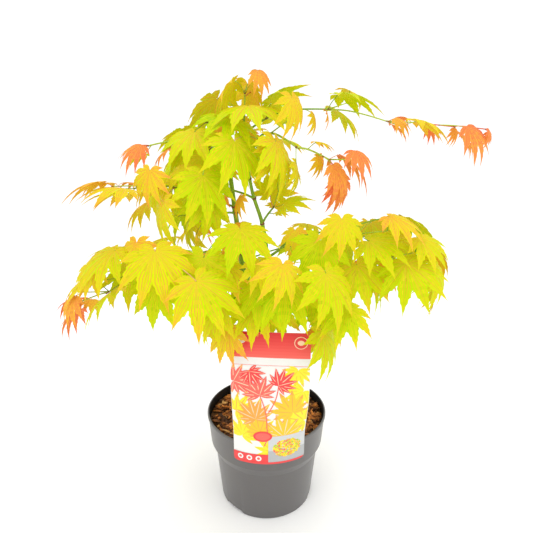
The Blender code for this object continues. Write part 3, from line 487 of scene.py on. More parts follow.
def grow(shoot, mass, path, space):
    """The leaves and side twigs of a shoot: opposite pairs, each turned a quarter from the last."""
    rng = random.Random(shoot.name + str(shoot.seed))
    leaves, twigs = [], []
    turn = rng.uniform(-0.5, 0.5)
    for k in range(shoot.pairs):
        share = k / (shoot.pairs - 1) if shoot.pairs > 1 else 1.0
        node, ahead = place_on(path, mix(shoot.first, 0.98, share))
        length, youth = mix(*shoot.blade, share), mix(*shoot.youth, share)
        roll = turn + math.pi / 2 * k
        for side in (0, math.pi):
            bears_twig = rng.random() < TWIG_CHANCE * (1 - youth)
            leaf = try_leaf(rng, space, mass, shoot, node, ahead, roll + side, length, youth)
            if leaf:
                leaves.append(leaf)
            if leaf and bears_twig:
                across = Vector((leaf.hub.x - node.x, leaf.hub.y - node.y, 0)).normalized()
                along = (across * 0.5 + ahead * 0.6 + UP * 0.3).normalized()
                end = node + along * length * TWIG_SHARE
                twig = tube([node, end], [TWIG_RADIUS] * 2, TWIG_SIDES)
                held = len(space.held)
                space.add(mass, "stem", *twig)
                side_leaf = None
                if space.free(*twig, mass):
                    side_leaf = try_leaf(
                        rng, space, mass, shoot, end, along, roll + math.pi / 2,
                        length * TWIG_LEAF_SHARE, min(1, youth + TWIG_AGE),
                    )
                if side_leaf:
                    twigs.append((node, end))
                    leaves.append(side_leaf)
                else:
                    del space.held[held:]
    return leaves, twigs


def plan_plant():
    """Paths of the limbs and shoots, the shoots' radii, and each shoot's leaves and twigs."""
    paths = {limb.name: smooth_path([Vector(p) for p in limb.points], LIMB_STEPS) for limb in LIMBS}
    space = Space()
    for limb in LIMBS:
        radii = [r + CLEARANCE for r in spread_radii(limb.radii, LIMB_STEPS)]
        space.add(limb.name, "limb", *tube(paths[limb.name], radii, LIMB_SIDES))
    radii, ends = {}, {}
    for mass, shoot in MASSED:
        paths[shoot.name] = shoot_path(shoot, paths)
        radii[shoot.name] = shoot_radii(shoot, ends)
        room = [r + CLEARANCE for r in radii[shoot.name]]
        space.add(mass, "stem", *tube(paths[shoot.name], room, TWIG_SIDES))
    space.add("label", "label", *label_sheet(LABEL_THICKNESS + 2 * CLEARANCE, CLEARANCE, *ROUGH_SHEET))
    grown = {shoot.name: grow(shoot, mass, paths[shoot.name], space) for mass, shoot in MASSED}
    return paths, radii, grown, space


# --- label's sheet

ROUGH_SHEET = (10, 4, 2)  # columns, rows and steps round a corner of the sheet that leaves keep clear of
FINE_SHEET = (35, 63, 6)  # the same of the sheet that shows


def label_front(across, height, proud=0.0):
    """A point of the sheet's front: it hugs the rim band below and flattens towards its top."""
    calm = max(0.0, min(1.0, (height - POT_HEIGHT) / (LABEL_FLAT_FROM - POT_HEIGHT)))
    radius = RIM_RADIUS + GAP + LABEL_THICKNESS + proud
    curve = mix(1 / radius, 1 / (radius * 12), calm * calm * (3 - 2 * calm))
    angle = across * curve
    point = Vector((math.sin(angle) / curve, (1 - math.cos(angle)) / curve - radius, height))
    return LABEL_SPIN @ point


def label_rows(count, steps):
    """The sheet's rows from its bottom up, as (height, half of the width there)."""
    whole = LABEL_WIDTH / 2
    corner = []
    for k in range(steps + 1):
        a = math.pi / 2 * k / steps
        corner.append((LABEL_CORNER * (1 - math.sin(a)), whole - LABEL_CORNER * (1 - math.cos(a))))
    low, high = LABEL_LOW + LABEL_CORNER, LABEL_HIGH - LABEL_CORNER
    rows = [(LABEL_LOW + rise, half) for rise, half in reversed(corner)]
    rows += [(mix(low, high, k / count), whole) for k in range(1, count)]
    return rows + [(LABEL_HIGH - rise, half) for rise, half in corner]


def label_sheet(thickness, proud, columns, count, steps):
    """Points and faces of the label's closed sheet."""
    front, back = [], []
    rows = label_rows(count, steps)
    for height, half in rows:
        for column in range(columns + 1):
            across = (column / columns * 2 - 1) * half + LABEL_SHIFT
            front.append(label_front(across, height, proud))
            back.append(label_front(across, height, proud - thickness))
    wide, top, shift = columns + 1, len(rows) - 1, len(front)
    grid = grid_faces(len(rows), wide)
    faces = [*grid.tolist(), *(shift + grid[:, ::-1]).tolist()]
    rim = [*range(wide), *(r * wide + wide - 1 for r in range(1, top + 1))]
    rim += [*range(shift - 2, shift - wide - 1, -1), *(r * wide for r in range(top - 1, 0, -1))]
    for a, b in zip(rim, [*rim[1:], rim[0]]):
        faces.append((b, a, shift + a, shift + b))
    return [*front, *back], faces


# --- meshes from arrays

MOST_TRIANGLES = 180_000  # a piece of leaves with more is full


class Shape:
    """Points in millimetres and faces of three or four corners, each with a colour number, of one piece."""

    def __init__(self):
        self.points, self.faces, self.colours, self.count, self.triangles = [], [], [], 0, 0

    def add(self, points, faces, colours):
        points, faces = np.asarray(points, float), np.asarray(faces, int)
        self.points.append(points)
        self.faces.append(np.where(faces < 0, -1, faces + self.count))
        self.colours.append(np.broadcast_to(colours, len(faces)))
        self.count += len(points)
        self.triangles += int((faces[:, 3] >= 0).sum()) + len(faces)


def piece(name, shape, finishes, replaced=(), smooth=True, sharp=None):
    """A mesh object of a shape, which rides on the plant's one body in place of some of its solids."""
    points, faces = np.concatenate(shape.points) * MM, np.concatenate(shape.faces)
    sizes = np.where(faces[:, 3] < 0, 3, 4)
    mesh = bpy.data.meshes.new(name)
    mesh.vertices.add(len(points))
    mesh.vertices.foreach_set("co", points.astype(np.float32).ravel())
    mesh.loops.add(int(sizes.sum()))
    mesh.loops.foreach_set("vertex_index", faces[faces >= 0].astype(np.int32))
    mesh.polygons.add(len(faces))
    mesh.polygons.foreach_set("loop_start", (np.cumsum(sizes) - sizes).astype(np.int32))
    for finish in finishes:
        mesh.materials.append(finish)
    mesh.polygons.foreach_set("material_index", np.concatenate(shape.colours).astype(np.int32))
    mesh.update(calc_edges=True)
    mesh.validate()
    if smooth:
        mesh.shade_smooth()
    if sharp:
        mesh.set_sharp_from_angle(angle=math.radians(sharp))
    made = bpy.data.objects.new(name, mesh)
    bpy.context.scene.collection.objects.link(made)
    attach(made, "root")
    if replaced:
        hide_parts(*replaced)


def turn_of(count):
    """Angles spread evenly round a full turn."""
    return 2 * np.pi * np.arange(count) / count


def grid_faces(rows, columns, ring=False):
    """The four-sided faces of a grid of points, whose columns may close to a ring."""
    row, column = np.meshgrid(np.arange(rows - 1), np.arange(columns if ring else columns - 1), indexing="ij")
    a, b = row * columns + column, row * columns + (column + 1) % columns
    return np.stack([a, b, b + columns, a + columns], -1).reshape(-1, 4)


def rod(path, radii, sides):
    """Points and faces of a closed round rod along a path; radii are one a point, or one a point and side."""
    path = np.array([tuple(p) for p in path], float)
    radii = np.broadcast_to(np.asarray(radii, float).reshape(len(path), -1), (len(path), sides))
    ahead = np.gradient(path, axis=0)
    ahead /= np.linalg.norm(ahead, axis=1)[:, None] + 1e-9
    across = np.cross(ahead[0], (1, 0, 0) if abs(ahead[0][0]) < 0.8 else (0, 1, 0))
    angle = turn_of(sides)[:, None]
    rings = []
    for i, direction in enumerate(ahead):
        across = across - direction * (across @ direction)
        across = across / np.linalg.norm(across)
        ring = np.cos(angle) * across + np.sin(angle) * np.cross(direction, across)
        rings.append(path[i] + ring * radii[i][:, None])
    count = len(path) * sides
    points = np.concatenate([*rings, path[:1], path[-1:]])
    side = np.arange(sides)
    after = (side + 1) % sides
    low = np.stack([after, side, np.full(sides, count), np.full(sides, -1)], -1)
    last = count - sides
    high = np.stack([side + last, after + last, np.full(sides, count + 1), np.full(sides, -1)], -1)
    return points, np.concatenate([grid_faces(len(path), sides, True), low, high])


def arc(start, bend, end, steps):
    """Points of a curve from start to end that bends towards a third point."""
    shares = [k / steps for k in range(steps + 1)]
    return [start * (1 - s) ** 2 + bend * 2 * s * (1 - s) + end * s**2 for s in shares]


# --- finishes


def linear(rgb):
    """An sRGB colour from 0 to 255 as the linear one that a shader wants."""
    return (*(((c / 255 + 0.055) / 1.055) ** 2.4 if c > 10 else c / 255 / 12.92 for c in rgb), 1)


def set_inputs(finish, node, inputs):
    """Gives a node's inputs, by name or number, a value or the output that feeds them."""
    for key, value in inputs.items():
        if isinstance(value, bpy.types.NodeSocket):
            finish.node_tree.links.new(value, node.inputs[key])
        else:
            node.inputs[key].default_value = value


def add_node(finish, kind, inputs):
    node = finish.node_tree.nodes.new("ShaderNode" + kind)
    set_inputs(finish, node, inputs)
    return node


def paint(finish, inputs):
    set_inputs(finish, finish.node_tree.nodes["Principled BSDF"], inputs)


def plain(name, rgb, roughness=0.5, specular=0.4):
    finish = bpy.data.materials.new(name)
    finish.use_nodes = True
    paint(finish, {"Base Color": linear(rgb), "Roughness": roughness, "Specular IOR Level": specular})
    return finish


def add_noise(finish, place, scale, detail):
    return add_node(finish, "TexNoise", {"Vector": place, "Scale": scale, "Detail": detail}).outputs["Fac"]


def add_ramp(finish, share, stops):
    """The colour at a share between stops of (share, colour)."""
    node = add_node(finish, "ValToRGB", {"Fac": share})
    elements = node.color_ramp.elements
    while len(elements) < len(stops):
        elements.new(0.5)
    for element, (spot, colour) in zip(elements, stops):
        element.position, element.color = spot, linear(colour)
    return node.outputs["Color"]


def add_relief(finish, height, strength, depth):
    bump = add_node(finish, "Bump", {"Height": height, "Strength": strength, "Distance": depth})
    paint(finish, {"Normal": bump.outputs["Normal"]})


def noisy(name, rgb, roughness, scale, depth, contrast, specular=0.4):
    """One colour that noise makes a little lighter and darker, with a fine grain in relief."""
    finish = plain(name, rgb, roughness, specular)
    noise = add_noise(finish, add_node(finish, "TexCoord", {}).outputs["Object"], scale, 4)
    dark, light = ([min(255, c * (1 + change)) for c in rgb] for change in (-contrast, contrast))
    paint(finish, {"Base Color": add_ramp(finish, noise, ((0.3, dark), (0.7, light)))})
    add_relief(finish, noise, 0.4, depth)
    return finish


BLADE_RAMP = (  # from the greenest blade to the reddest
    (0.00, (134, 170, 0)),
    (0.10, (152, 182, 0)),
    (0.20, (170, 194, 0)),
    (0.30, (188, 200, 4)),
    (0.40, (204, 198, 14)),
    (0.50, (214, 182, 34)),
    (0.60, (220, 162, 58)),
    (0.70, (222, 142, 72)),
    (0.80, (224, 122, 80)),
    (0.90, (218, 102, 72)),
    (1.00, (204, 80, 60)),
)
BLADE_STEPS = 15  # finishes along the ramp
BLADE_TONES = (1.0, 0.93)  # of most faces, and of most of those on a vein
BLADE_DEPTH = 0.925  # how deep a blade's own colour is, beside the painted glow that stands in for light coming through it
BLADE_PAINTED_GLOW = 0.46  # painted glow: emission that stands in for light coming through a blade, as a share of its colour
PAINTED_GLOW_BLUE = 0.3  # the painted glow has lost most of its blue, like light through a leaf


def ramp_colour(share):
    for (low, first), (high, second) in zip(BLADE_RAMP, BLADE_RAMP[1:]):
        if share <= high:
            break
    return [mix(a, b, (share - low) / (high - low)) for a, b in zip(first, second)]


def blade_finishes():
    made = []
    for tone, dim in enumerate(BLADE_TONES):
        for step in range(BLADE_STEPS):
            colour = [c * dim * BLADE_DEPTH for c in ramp_colour(step / (BLADE_STEPS - 1))]
            finish = plain(f"blade_{step}_{tone}", colour, 0.58, 0.07)
            # Every blade finish glows: painted glow, an emission in the blade's own colour in place of light
            # shining through the leaf.
            red, green, blue, _ = linear(colour)
            painted_glow = (red, green, blue * PAINTED_GLOW_BLUE, 1)
            paint(finish, {"Emission Color": painted_glow, "Emission Strength": BLADE_PAINTED_GLOW})
            made.append(finish)
    return made


STEM_COLOURS = {
    "green": (128, 168, 26),
    "lime": (170, 194, 50),
    "pink": (226, 164, 118),
    "red": (208, 100, 66),
    "node": (122, 70, 54),
    "bud": (140, 74, 50),
}
STEM_NUMBERS = {name: number for number, name in enumerate(STEM_COLOURS)}
BARK_STOPS = (  # from the brown foot to the green tips
    (0.0, (84, 62, 30)),
    (0.16, (104, 86, 30)),
    (0.34, (116, 134, 28)),
    (0.6, (124, 166, 30)),
    (1.0, (140, 184, 40)),
)
BARK_HEIGHTS = (0.20, 0.62)  # metres, of the first stop and the last
BARK_DRIFT = 0.10  # metres that the stops wander up and down


def stem_finish():
    """Brown bark at the foot that turns to green skin higher up, with a fine grain along the stem."""
    finish = plain("maple_bark", BARK_STOPS[0][1], 0.55, 0.5)
    place = add_node(finish, "TexCoord", {}).outputs["Object"]
    height = add_node(finish, "SeparateXYZ", {0: place}).outputs["Z"]
    drift = add_node(finish, "Math", {})
    drift.operation = "MULTIPLY_ADD"
    set_inputs(finish, drift, {0: add_noise(finish, place, 60, 4), 1: BARK_DRIFT, 2: height})
    low, high = BARK_HEIGHTS
    share = add_node(finish, "MapRange", {"Value": drift.outputs[0], "From Min": low, "From Max": high})
    colour = add_ramp(finish, share.outputs["Result"], BARK_STOPS)
    stretch = add_node(finish, "Mapping", {"Vector": place, "Scale": (1.0, 1.0, 0.22)})
    grain = add_noise(finish, stretch.outputs["Vector"], 420, 3)
    blend = add_node(finish, "Mix", {})
    blend.data_type, blend.blend_type = "RGBA", "OVERLAY"
    set_inputs(finish, blend, {"Factor": 0.55, "A": colour, "B": grain})
    paint(finish, {"Base Color": blend.outputs["Result"]})
    add_relief(finish, grain, 0.5, 0.0006)
    return finish


# --- leaves

BLADE_LOBES = ((0, 1.0), (31, 0.96), (64, 0.84), (101, 0.60), (139, 0.34))  # degrees from the midrib, reach
YOUNG_LOBES = ((0, 1.0), (31, 0.93), (64, 0.74), (102, 0.42))
BLADE_SPREAD = (0.92, 0.66)  # share of those degrees, for a green blade and a red one
BLADE_FOLD = (20, 36)  # degrees that they bend down towards the tip
LOBE_WIDTH = (0.154, 0.094)  # half of it, as a share of the blade's length
TEETH = 7  # on each side of a lobe
BLADE_ROWS = 2 * TEETH + 3
BLADE_COLUMNS = np.array([-1, -0.74, -0.62, -0.36, -0.25, -0.055, 0.055, 0.25, 0.36, 0.62, 0.74, 1])
RIBS = np.array([0, 1, 0, 1, 0, 1, 0, 1, 0, 1, 0])  # strips between the columns that are veins
PLEATS = np.array([-0.05, 0.21, -0.05, 0.23, -0.06, 0, -0.06, 0.23, -0.05, 0.21, -0.05])  # how much redder
FOLDS = np.array([0, 0.6, 0.35, 0.9, 1, 0, 0, 1, 0.9, 0.35, 0.6, 0])  # relief of the pleats at the columns
FOLD_DEPTH = 0.09
WIDEST = 0.46  # place along a lobe
FREE_SIDE = 42  # degrees left free beside the last lobe
BASE_RED, VEIN_RED, TIP_RED = (0.20, 0.76), (0.14, 0.34), (0, 0.34)  # places on the ramp, and steps up it
RIB_DARK, FACE_DARK = 0.9, 0.03  # chances of the second tone
STALK_WIDTHS = np.array([0.95, 0.66, 0.6, 0.58, 0.56, 0.6, 0.85])  # radii from its root to the blade
FINE_SHARES = (0.3, 0.62, 0.9)  # places on a shoot where a small leaf may stand
FINE_CHANCE = 0.75
FINE_LENGTH, FINE_YOUTH = (26, 44), (0.2, 1.0)  # least and most of such a leaf


def lobe_sides(t, c, odd, own, reach, gaps):
    """Half a lobe's width at each point, cut by its neighbours and toothed, and how far it is toothed."""
    past = np.clip((t - WIDEST) / (1 - WIDEST), 0, 1)
    swell, taper = 0.70 + 0.30 * np.sin(np.pi / 2 * t / WIDEST), (1 - past) ** 1.6 * (1 + 0.8 * past)
    full = own * np.where(t < WIDEST, swell, taper) + 0.002
    bound = np.where(c < 0, *(t * reach * math.tan(math.radians(min(g, 60))) * 1.10 for g in gaps))
    toothed = np.clip((bound - full) / (0.25 * full), 0, 1) * np.clip((1 - t) * 8, 0, 1)
    return np.minimum(full, bound) * (1 + toothed * np.abs(c) ** 3 * np.where(odd, -0.07, 0.08)), toothed


def bent(x, y, rise, fold):
    """Points of a flat blade, bent down about its hub by the fold at a reach of 1, and raised by the rise."""
    radius = np.hypot(x, y) + 1e-6
    bend = (fold * radius)[..., None]
    flat = np.stack([x / radius, y / radius, np.zeros_like(x)], -1)
    up = np.array([0.0, 0.0, 1.0])
    along, normal = flat * np.cos(bend) - up * np.sin(bend), flat * np.sin(bend) + up * np.cos(bend)
    return along * radius[..., None] + normal * rise[..., None]


def blade(rng, length, youth):
    """Points, faces and shades of a cut, toothed, pleated blade about its hub, Y along the midrib."""
    spread, fold = mix(*BLADE_SPREAD, youth), math.radians(mix(*BLADE_FOLD, youth))
    lobes = BLADE_LOBES if youth < YOUNG else YOUNG_LOBES
    axes = [(-angle, reach) for angle, reach in reversed(lobes[1:])] + list(lobes)
    t, c = np.linspace(0.015, 1, BLADE_ROWS)[:, None], BLADE_COLUMNS[None, :]
    odd = (np.arange(BLADE_ROWS) % 2)[:, None]
    middle, beside = (t[:-1] + t[1:]) / 2, np.abs(c[:, :-1] + c[:, 1:]) / 2
    lean, calm = rng.uniform(-0.07, 0.07), mix(1, 0.4, youth)
    vein, flush = rng.uniform(*VEIN_RED) * calm, rng.uniform(*TIP_RED) * calm
    base = mix(*BASE_RED, youth**1.15) + rng.uniform(-0.06, 0.06)
    reach_vein = rng.uniform(0.25, 0.5)
    points, faces, shades = [], [], []
    for i, (angle, reach) in enumerate(axes):
        reach *= rng.uniform(0.95, 1.02)
        gaps = [
            abs(angle - axes[i - 1][0]) * spread / 2 if i else FREE_SIDE,
            abs(axes[i + 1][0] - angle) * spread / 2 if i + 1 < len(axes) else FREE_SIDE,
        ]
        half, toothed = lobe_sides(t, c, odd, mix(*LOBE_WIDTH, youth) * math.sqrt(reach), reach, gaps)
        free = np.clip((t - 0.45) / 0.55, 0, 1) ** 1.5
        bow, curl, twist = rng.uniform(-0.05, 0.05), rng.uniform(-0.03, 0.08), rng.uniform(-0.4, 0.4)
        u = half * c + bow * free * reach
        v = t * reach + np.abs(c) ** 2 * half * (0.25 + toothed * np.where(odd, -0.05, 0.22))
        rise = 0.20 * np.abs(c) * half + (twist * c * half - curl * reach) * free + FOLD_DEPTH * FOLDS * half
        rise = rise + np.where(odd, 0.003, -0.003) * np.clip(half * 12, 0, 1) * (1 - np.abs(c))
        a = math.radians(angle * spread)
        x, y = v * math.sin(a) + u * math.cos(a), v * math.cos(a) - u * math.sin(a)
        points.append(bent(x, y, rise, fold).reshape(-1, 3) * length)
        faces.append(grid_faces(*x.shape)[:, ::-1] + i * x.size)
        shade = base + lean * (x[:-1, :-1] + x[1:, 1:])
        shade = shade + vein * (beside < 0.1) * mix(1.2, 0.6, middle)
        shade = shade + vein * 0.9 * np.exp(-middle * reach / reach_vein) * (1 - 0.6 * beside)
        shade = shade + flush * np.clip((middle - 0.45) / 0.5, 0, 1) ** 1.5 * (1 - 0.4 * beside)
        shade = shade + PLEATS * mix(1.3, 0.5, middle) + 0.025 * (odd[:-1] - 0.5) * (beside > 0.1)
        shades.append((shade + rng.uniform(-0.03, 0.03)).ravel())
    return np.concatenate(points), np.concatenate(faces), np.concatenate(shades)


def add_leaf(leaf, blades, stalks, rng):
    """A leaf's blade, and its stalk that bends into the blade's hub."""
    points, faces, shades = blade(rng, leaf.length, leaf.youth)
    frame_of = np.array(leaf.frame)
    dice = np.random.default_rng(rng.randrange(2**31))
    steps = np.clip(shades * (BLADE_STEPS - 1) + dice.uniform(-0.25, 0.25, len(shades)), 0, BLADE_STEPS - 1)
    dark = np.where(np.tile(RIBS, len(shades) // len(RIBS)), RIB_DARK, FACE_DARK)
    tones = (dice.random(len(shades)) < dark).astype(int)
    points = points @ frame_of[:3, :3].T + frame_of[:3, 3]
    blades.add(points, faces, np.round(steps).astype(int) + tones * BLADE_STEPS)
    root, hub, midrib = leaf.root, leaf.hub, leaf.frame.col[1].xyz
    run = (hub - root).length
    bend = root.lerp(hub, 0.62) - midrib * run * 0.10 + UP * run * 0.03
    path = arc(root, bend, hub, len(STALK_WIDTHS) - 1)
    if leaf.youth > 0.55:
        name = "red" if rng.random() < 0.6 else "pink"
    else:
        name = rng.choice(("lime", "lime", "green", "pink"))
    stalks.add(*rod(path, STALK_WIDTHS * mix(1.0, 0.8, leaf.youth), 6), STEM_NUMBERS[name])


def fine_growth(paths, space, grown):
    """Small leaves on the finest twigs between the pairs, where there is room left for them."""
    for mass, shoot in MASSED:
        rng = random.Random("fine " + shoot.name)
        for share in FINE_SHARES:
            if rng.random() > FINE_CHANCE:
                continue
            node, ahead = place_on(paths[shoot.name], share)
            length, youth = rng.uniform(*FINE_LENGTH), rng.uniform(*FINE_YOUTH)
            leaf = try_leaf(rng, space, mass, shoot, node, ahead, rng.uniform(0, 6.3), length, youth)
            if leaf:
                grown[shoot.name][0].append(leaf)


# --- stems, shoots and buds

STEM_SIDES, STEM_STEPS = 28, 14
NODE_SPACING = 40  # along a green stem
NODE_FROM = 215  # height above which the stems show their nodes
BARK_TOP = 250  # the ridges of the brown bark die out here
SHOOT_SWELL = 1.25  # radius of a shoot's skin, as a share of its solid's
NODE_RING = ((-1.5, -0.8, 0, 0.8, 1.5), (1.05, 1.27, 1.33, 1.27, 1.05))  # places along, shares of the radius
SHOOT_RING = ((-1.2, -0.5, 0.5, 1.2), (1.05, 1.5, 1.5, 1.1))


def stem_nodes(limb, paths):
    """Shares of a limb's length where something grows on it, and the bare nodes between."""
    path = paths[limb.name]
    total = sum((b - a).length for a, b in zip(path, path[1:]))
    shares = [shoot.along for shoot in SHOOTS if shoot.parent == limb.name]
    spot = 0.1 if limb.parent else 0.25
    while spot < 0.96:
        if all(abs(spot - s) * total > NODE_SPACING * 0.4 for s in shares):
            shares.append(spot)
        spot += NODE_SPACING / total
    return [s for s in shares if place_on(path, s)[0].z > NODE_FROM and s < 0.99]


def add_bud(shape, foot, axis, radius, length):
    """A pointed bud: its foot, and its length along the axis."""
    share = np.linspace(0, 1, 5)
    path = [foot + axis.normalized() * length * s for s in share]
    widths = radius * np.sin(np.pi * np.clip(share * 0.9 + 0.08, 0, 1)) ** 0.8
    shape.add(*rod(path, widths, 6), STEM_NUMBERS["bud"])


def add_ring(shape, spot, ahead, radius, ring, sides):
    """A swollen node round a stem."""
    path = [spot + ahead * k for k in ring[0]]
    shape.add(*rod(path, radius * np.array(ring[1]), sides), STEM_NUMBERS["node"])


def add_stem(limb, paths, stems, nodes, rng):
    """A limb with its bark ridges, its swollen nodes and their buds; the trunk flares at its foot."""
    path = np.array([tuple(p) for p in smooth_path([Vector(p) for p in limb.points], STEM_STEPS)])
    radii = np.array(spread_radii(limb.radii, STEM_STEPS))
    along = np.concatenate([[0], np.cumsum(np.linalg.norm(np.diff(path, axis=0), axis=1))])
    run, side, height = along[:, None], turn_of(STEM_SIDES), path[:, 2:]
    ridge = 0.05 * np.sin(side * 5 + run * 0.05) + 0.035 * np.sin(side * 9 - run * 0.11)
    ridge = ridge + 0.03 * np.sin(run * 1.1 + 2.0 * np.sin(side * 2))
    dice = np.random.default_rng(rng.randrange(2**31))
    ridge = ridge + dice.uniform(-0.02, 0.02, ridge.shape)
    if not limb.parent:
        ridge = ridge + np.clip((150 - height) / 14, 0, 1) ** 1.6 * 0.12 * np.cos(side * 5 + 0.7)
    shares = stem_nodes(limb, paths)
    swell = sum(0.24 * np.exp(-(((run - share * along[-1]) / 2.0) ** 2)) for share in shares)
    rough = np.clip((BARK_TOP - height) / 60, 0.04, 1)
    stems.add(*rod(path, radii[:, None] * (1 + ridge * rough + swell), STEM_SIDES), 0)
    for share in shares:
        spot, ahead = place_on(paths[limb.name], share)
        radius = float(np.interp(share * along[-1], along, radii))
        add_ring(nodes, spot, ahead, radius, NODE_RING, 14)
        beside = ahead.cross(Vector((rng.uniform(-1, 1), rng.uniform(-1, 1), 0.3))).normalized()
        for out in (beside, -beside):
            add_bud(nodes, spot + out * radius * 0.9, out * 0.5 + ahead, 1.0, rng.uniform(2.6, 4.4))


def add_shoot(shoot, paths, radii, stalks, rng):
    """A leafy shoot with a brown node and two buds at every pair, and two buds at its tip."""
    path, widths = paths[shoot.name], radii[shoot.name]
    fine, sizes = smooth_path(path, 4), np.array(spread_radii(widths, 4)) * SHOOT_SWELL
    youth = sum(shoot.youth) / 2
    near = "green" if youth < 0.5 else "lime"
    far = "green" if youth < 0.2 else "lime" if youth < 0.85 else "red"
    split = len(fine) // 2
    stalks.add(*rod(fine[: split + 1], sizes[: split + 1], 8), STEM_NUMBERS[near])
    stalks.add(*rod(fine[split:], sizes[split:], 8), STEM_NUMBERS[far if rng.random() < 0.7 else near])
    for k in range(shoot.pairs):
        share = mix(shoot.first, 0.98, k / (shoot.pairs - 1) if shoot.pairs > 1 else 1.0)
        spot, ahead = place_on(path, share)
        radius = mix(widths[0], widths[-1], share)
        add_ring(stalks, spot, ahead, radius, SHOOT_RING, 8)
        side = ahead.cross(UP).normalized() if abs(ahead.z) < 0.95 else Vector((1, 0, 0))
        for out in (side, -side):
            add_bud(stalks, spot + out * radius * 0.6, out * 0.7 + ahead, 0.8, rng.uniform(2.0, 3.4))
    tip, ahead = place_on(path, 1.0)
    for turn in (-0.35, 0.35):
        add_bud(stalks, tip, Matrix.Rotation(turn, 3, "Z") @ ahead, 0.85, rng.uniform(2.5, 4.0))


def make_plant():
    """Leaves of two kinds, the shoots with all stalks, and the stems with their nodes."""
    paths, radii, grown, space = plan_plant()
    fine_growth(paths, space, grown)
    solids = ["foliage_" + name for name in masses()]
    batches = {"leaves": [Shape()], "young_leaves": [Shape()]}
    stalks, nodes, stems = Shape(), Shape(), Shape()
    for shoot in SHOOTS:
        rng = random.Random("blades " + shoot.name)
        leaves, twigs = grown[shoot.name]
        for leaf in leaves:
            batch = batches["young_leaves" if leaf.youth > 0.5 else "leaves"]
            if batch[-1].triangles > MOST_TRIANGLES:
                batch.append(Shape())
            add_leaf(leaf, batch[-1], stalks, rng)
        for start, end in twigs:
            path = [start, start.lerp(end, 0.5), end]
            stalks.add(*rod(path, np.array([1.0, 0.8, 0.7]), 7), STEM_NUMBERS["lime"])
        add_shoot(shoot, paths, radii, stalks, rng)
    blades = blade_finishes()
    for slot, kind in (("leaves", "grown"), ("young_leaves", "young")):
        for number, shape in enumerate(batches[slot]):
            piece(f"maple_leaves_{kind}_{number}", shape, blades, solids)
    skins = [plain("stem_" + name, colour, 0.45) for name, colour in STEM_COLOURS.items()]
    piece("maple_shoots", stalks, skins, solids)
    rng = random.Random("stems")
    for limb in LIMBS:
        add_stem(limb, paths, stems, nodes, rng)
    piece("maple_stems", stems, [stem_finish()], [limb.name for limb in LIMBS])
    piece("maple_nodes", nodes, skins)


# --- pot and bark

LATHE_SIDES = 192
NOTCH_FROM = BASE_RADIUS - 11  # radius from which the drain notches cut the foot
LIP_TOP, LIP_FOOT = 2.2, 5.5  # how far the rolled lip reaches in, and down
FOOT_RING = 10  # width of the ring that the pot stands on
FOOT_RISE = 1.5  # of the floor inside it
CHIPS, FIBRES = 700, 26
CHIP_COLOURS = ((190, 118, 56), (152, 92, 42), (114, 68, 31), (74, 42, 20), (216, 154, 94), (168, 102, 48))
CHIP_COMMON = (0, 0, 1, 1, 1, 2, 2, 2, 3, 3, 4, 5, 5)  # the colours by number, common ones more often
CHIP_ROWS, CHIP_CORNERS = 4, ((-1, -1), (1, -1), (1, 1), (-1, 1))
SOIL_EDGE = 91.0  # radius that all bark stays inside
BED_RINGS, BED_SIDES = 30, 96


def lathe(shape, profile, colour, notch=False):
    """Turns (radius, height) points; with notch, the underside is lifted at the drain notches."""
    side = turn_of(LATHE_SIDES)
    turn = (np.degrees(side) - DRAIN_TURN) % (360 / DRAIN_NOTCHES)
    turn = np.minimum(turn, 360 / DRAIN_NOTCHES - turn)
    inside = np.clip((math.degrees(DRAIN_WIDTH / 2 / BASE_RADIUS) - turn) / 2.0 + 0.5, 0, 1)
    rings = []
    for radius, height in profile:
        cut = notch and radius > NOTCH_FROM
        lift = np.maximum(height, DRAIN_HEIGHT * inside * cut)
        rings.append(np.stack([radius * np.cos(side), radius * np.sin(side), lift], -1))
    shape.add(np.concatenate(rings), grid_faces(len(profile), LATHE_SIDES, True), colour)


def rounded(profile, reach):
    """The profile with its inner corners rounded off by arcs that start the given reach from them."""
    points = [Vector(p) for p in profile]
    made = [points[0]]
    for before, corner, after in zip(points, points[1:], points[2:]):
        size = min(reach, (before - corner).length * 0.45, (after - corner).length * 0.45)
        start = corner + (before - corner).normalized() * size
        end = corner + (after - corner).normalized() * size
        made += arc(start, corner, end, 4)
    return [tuple(p) for p in [*made, points[-1]]]


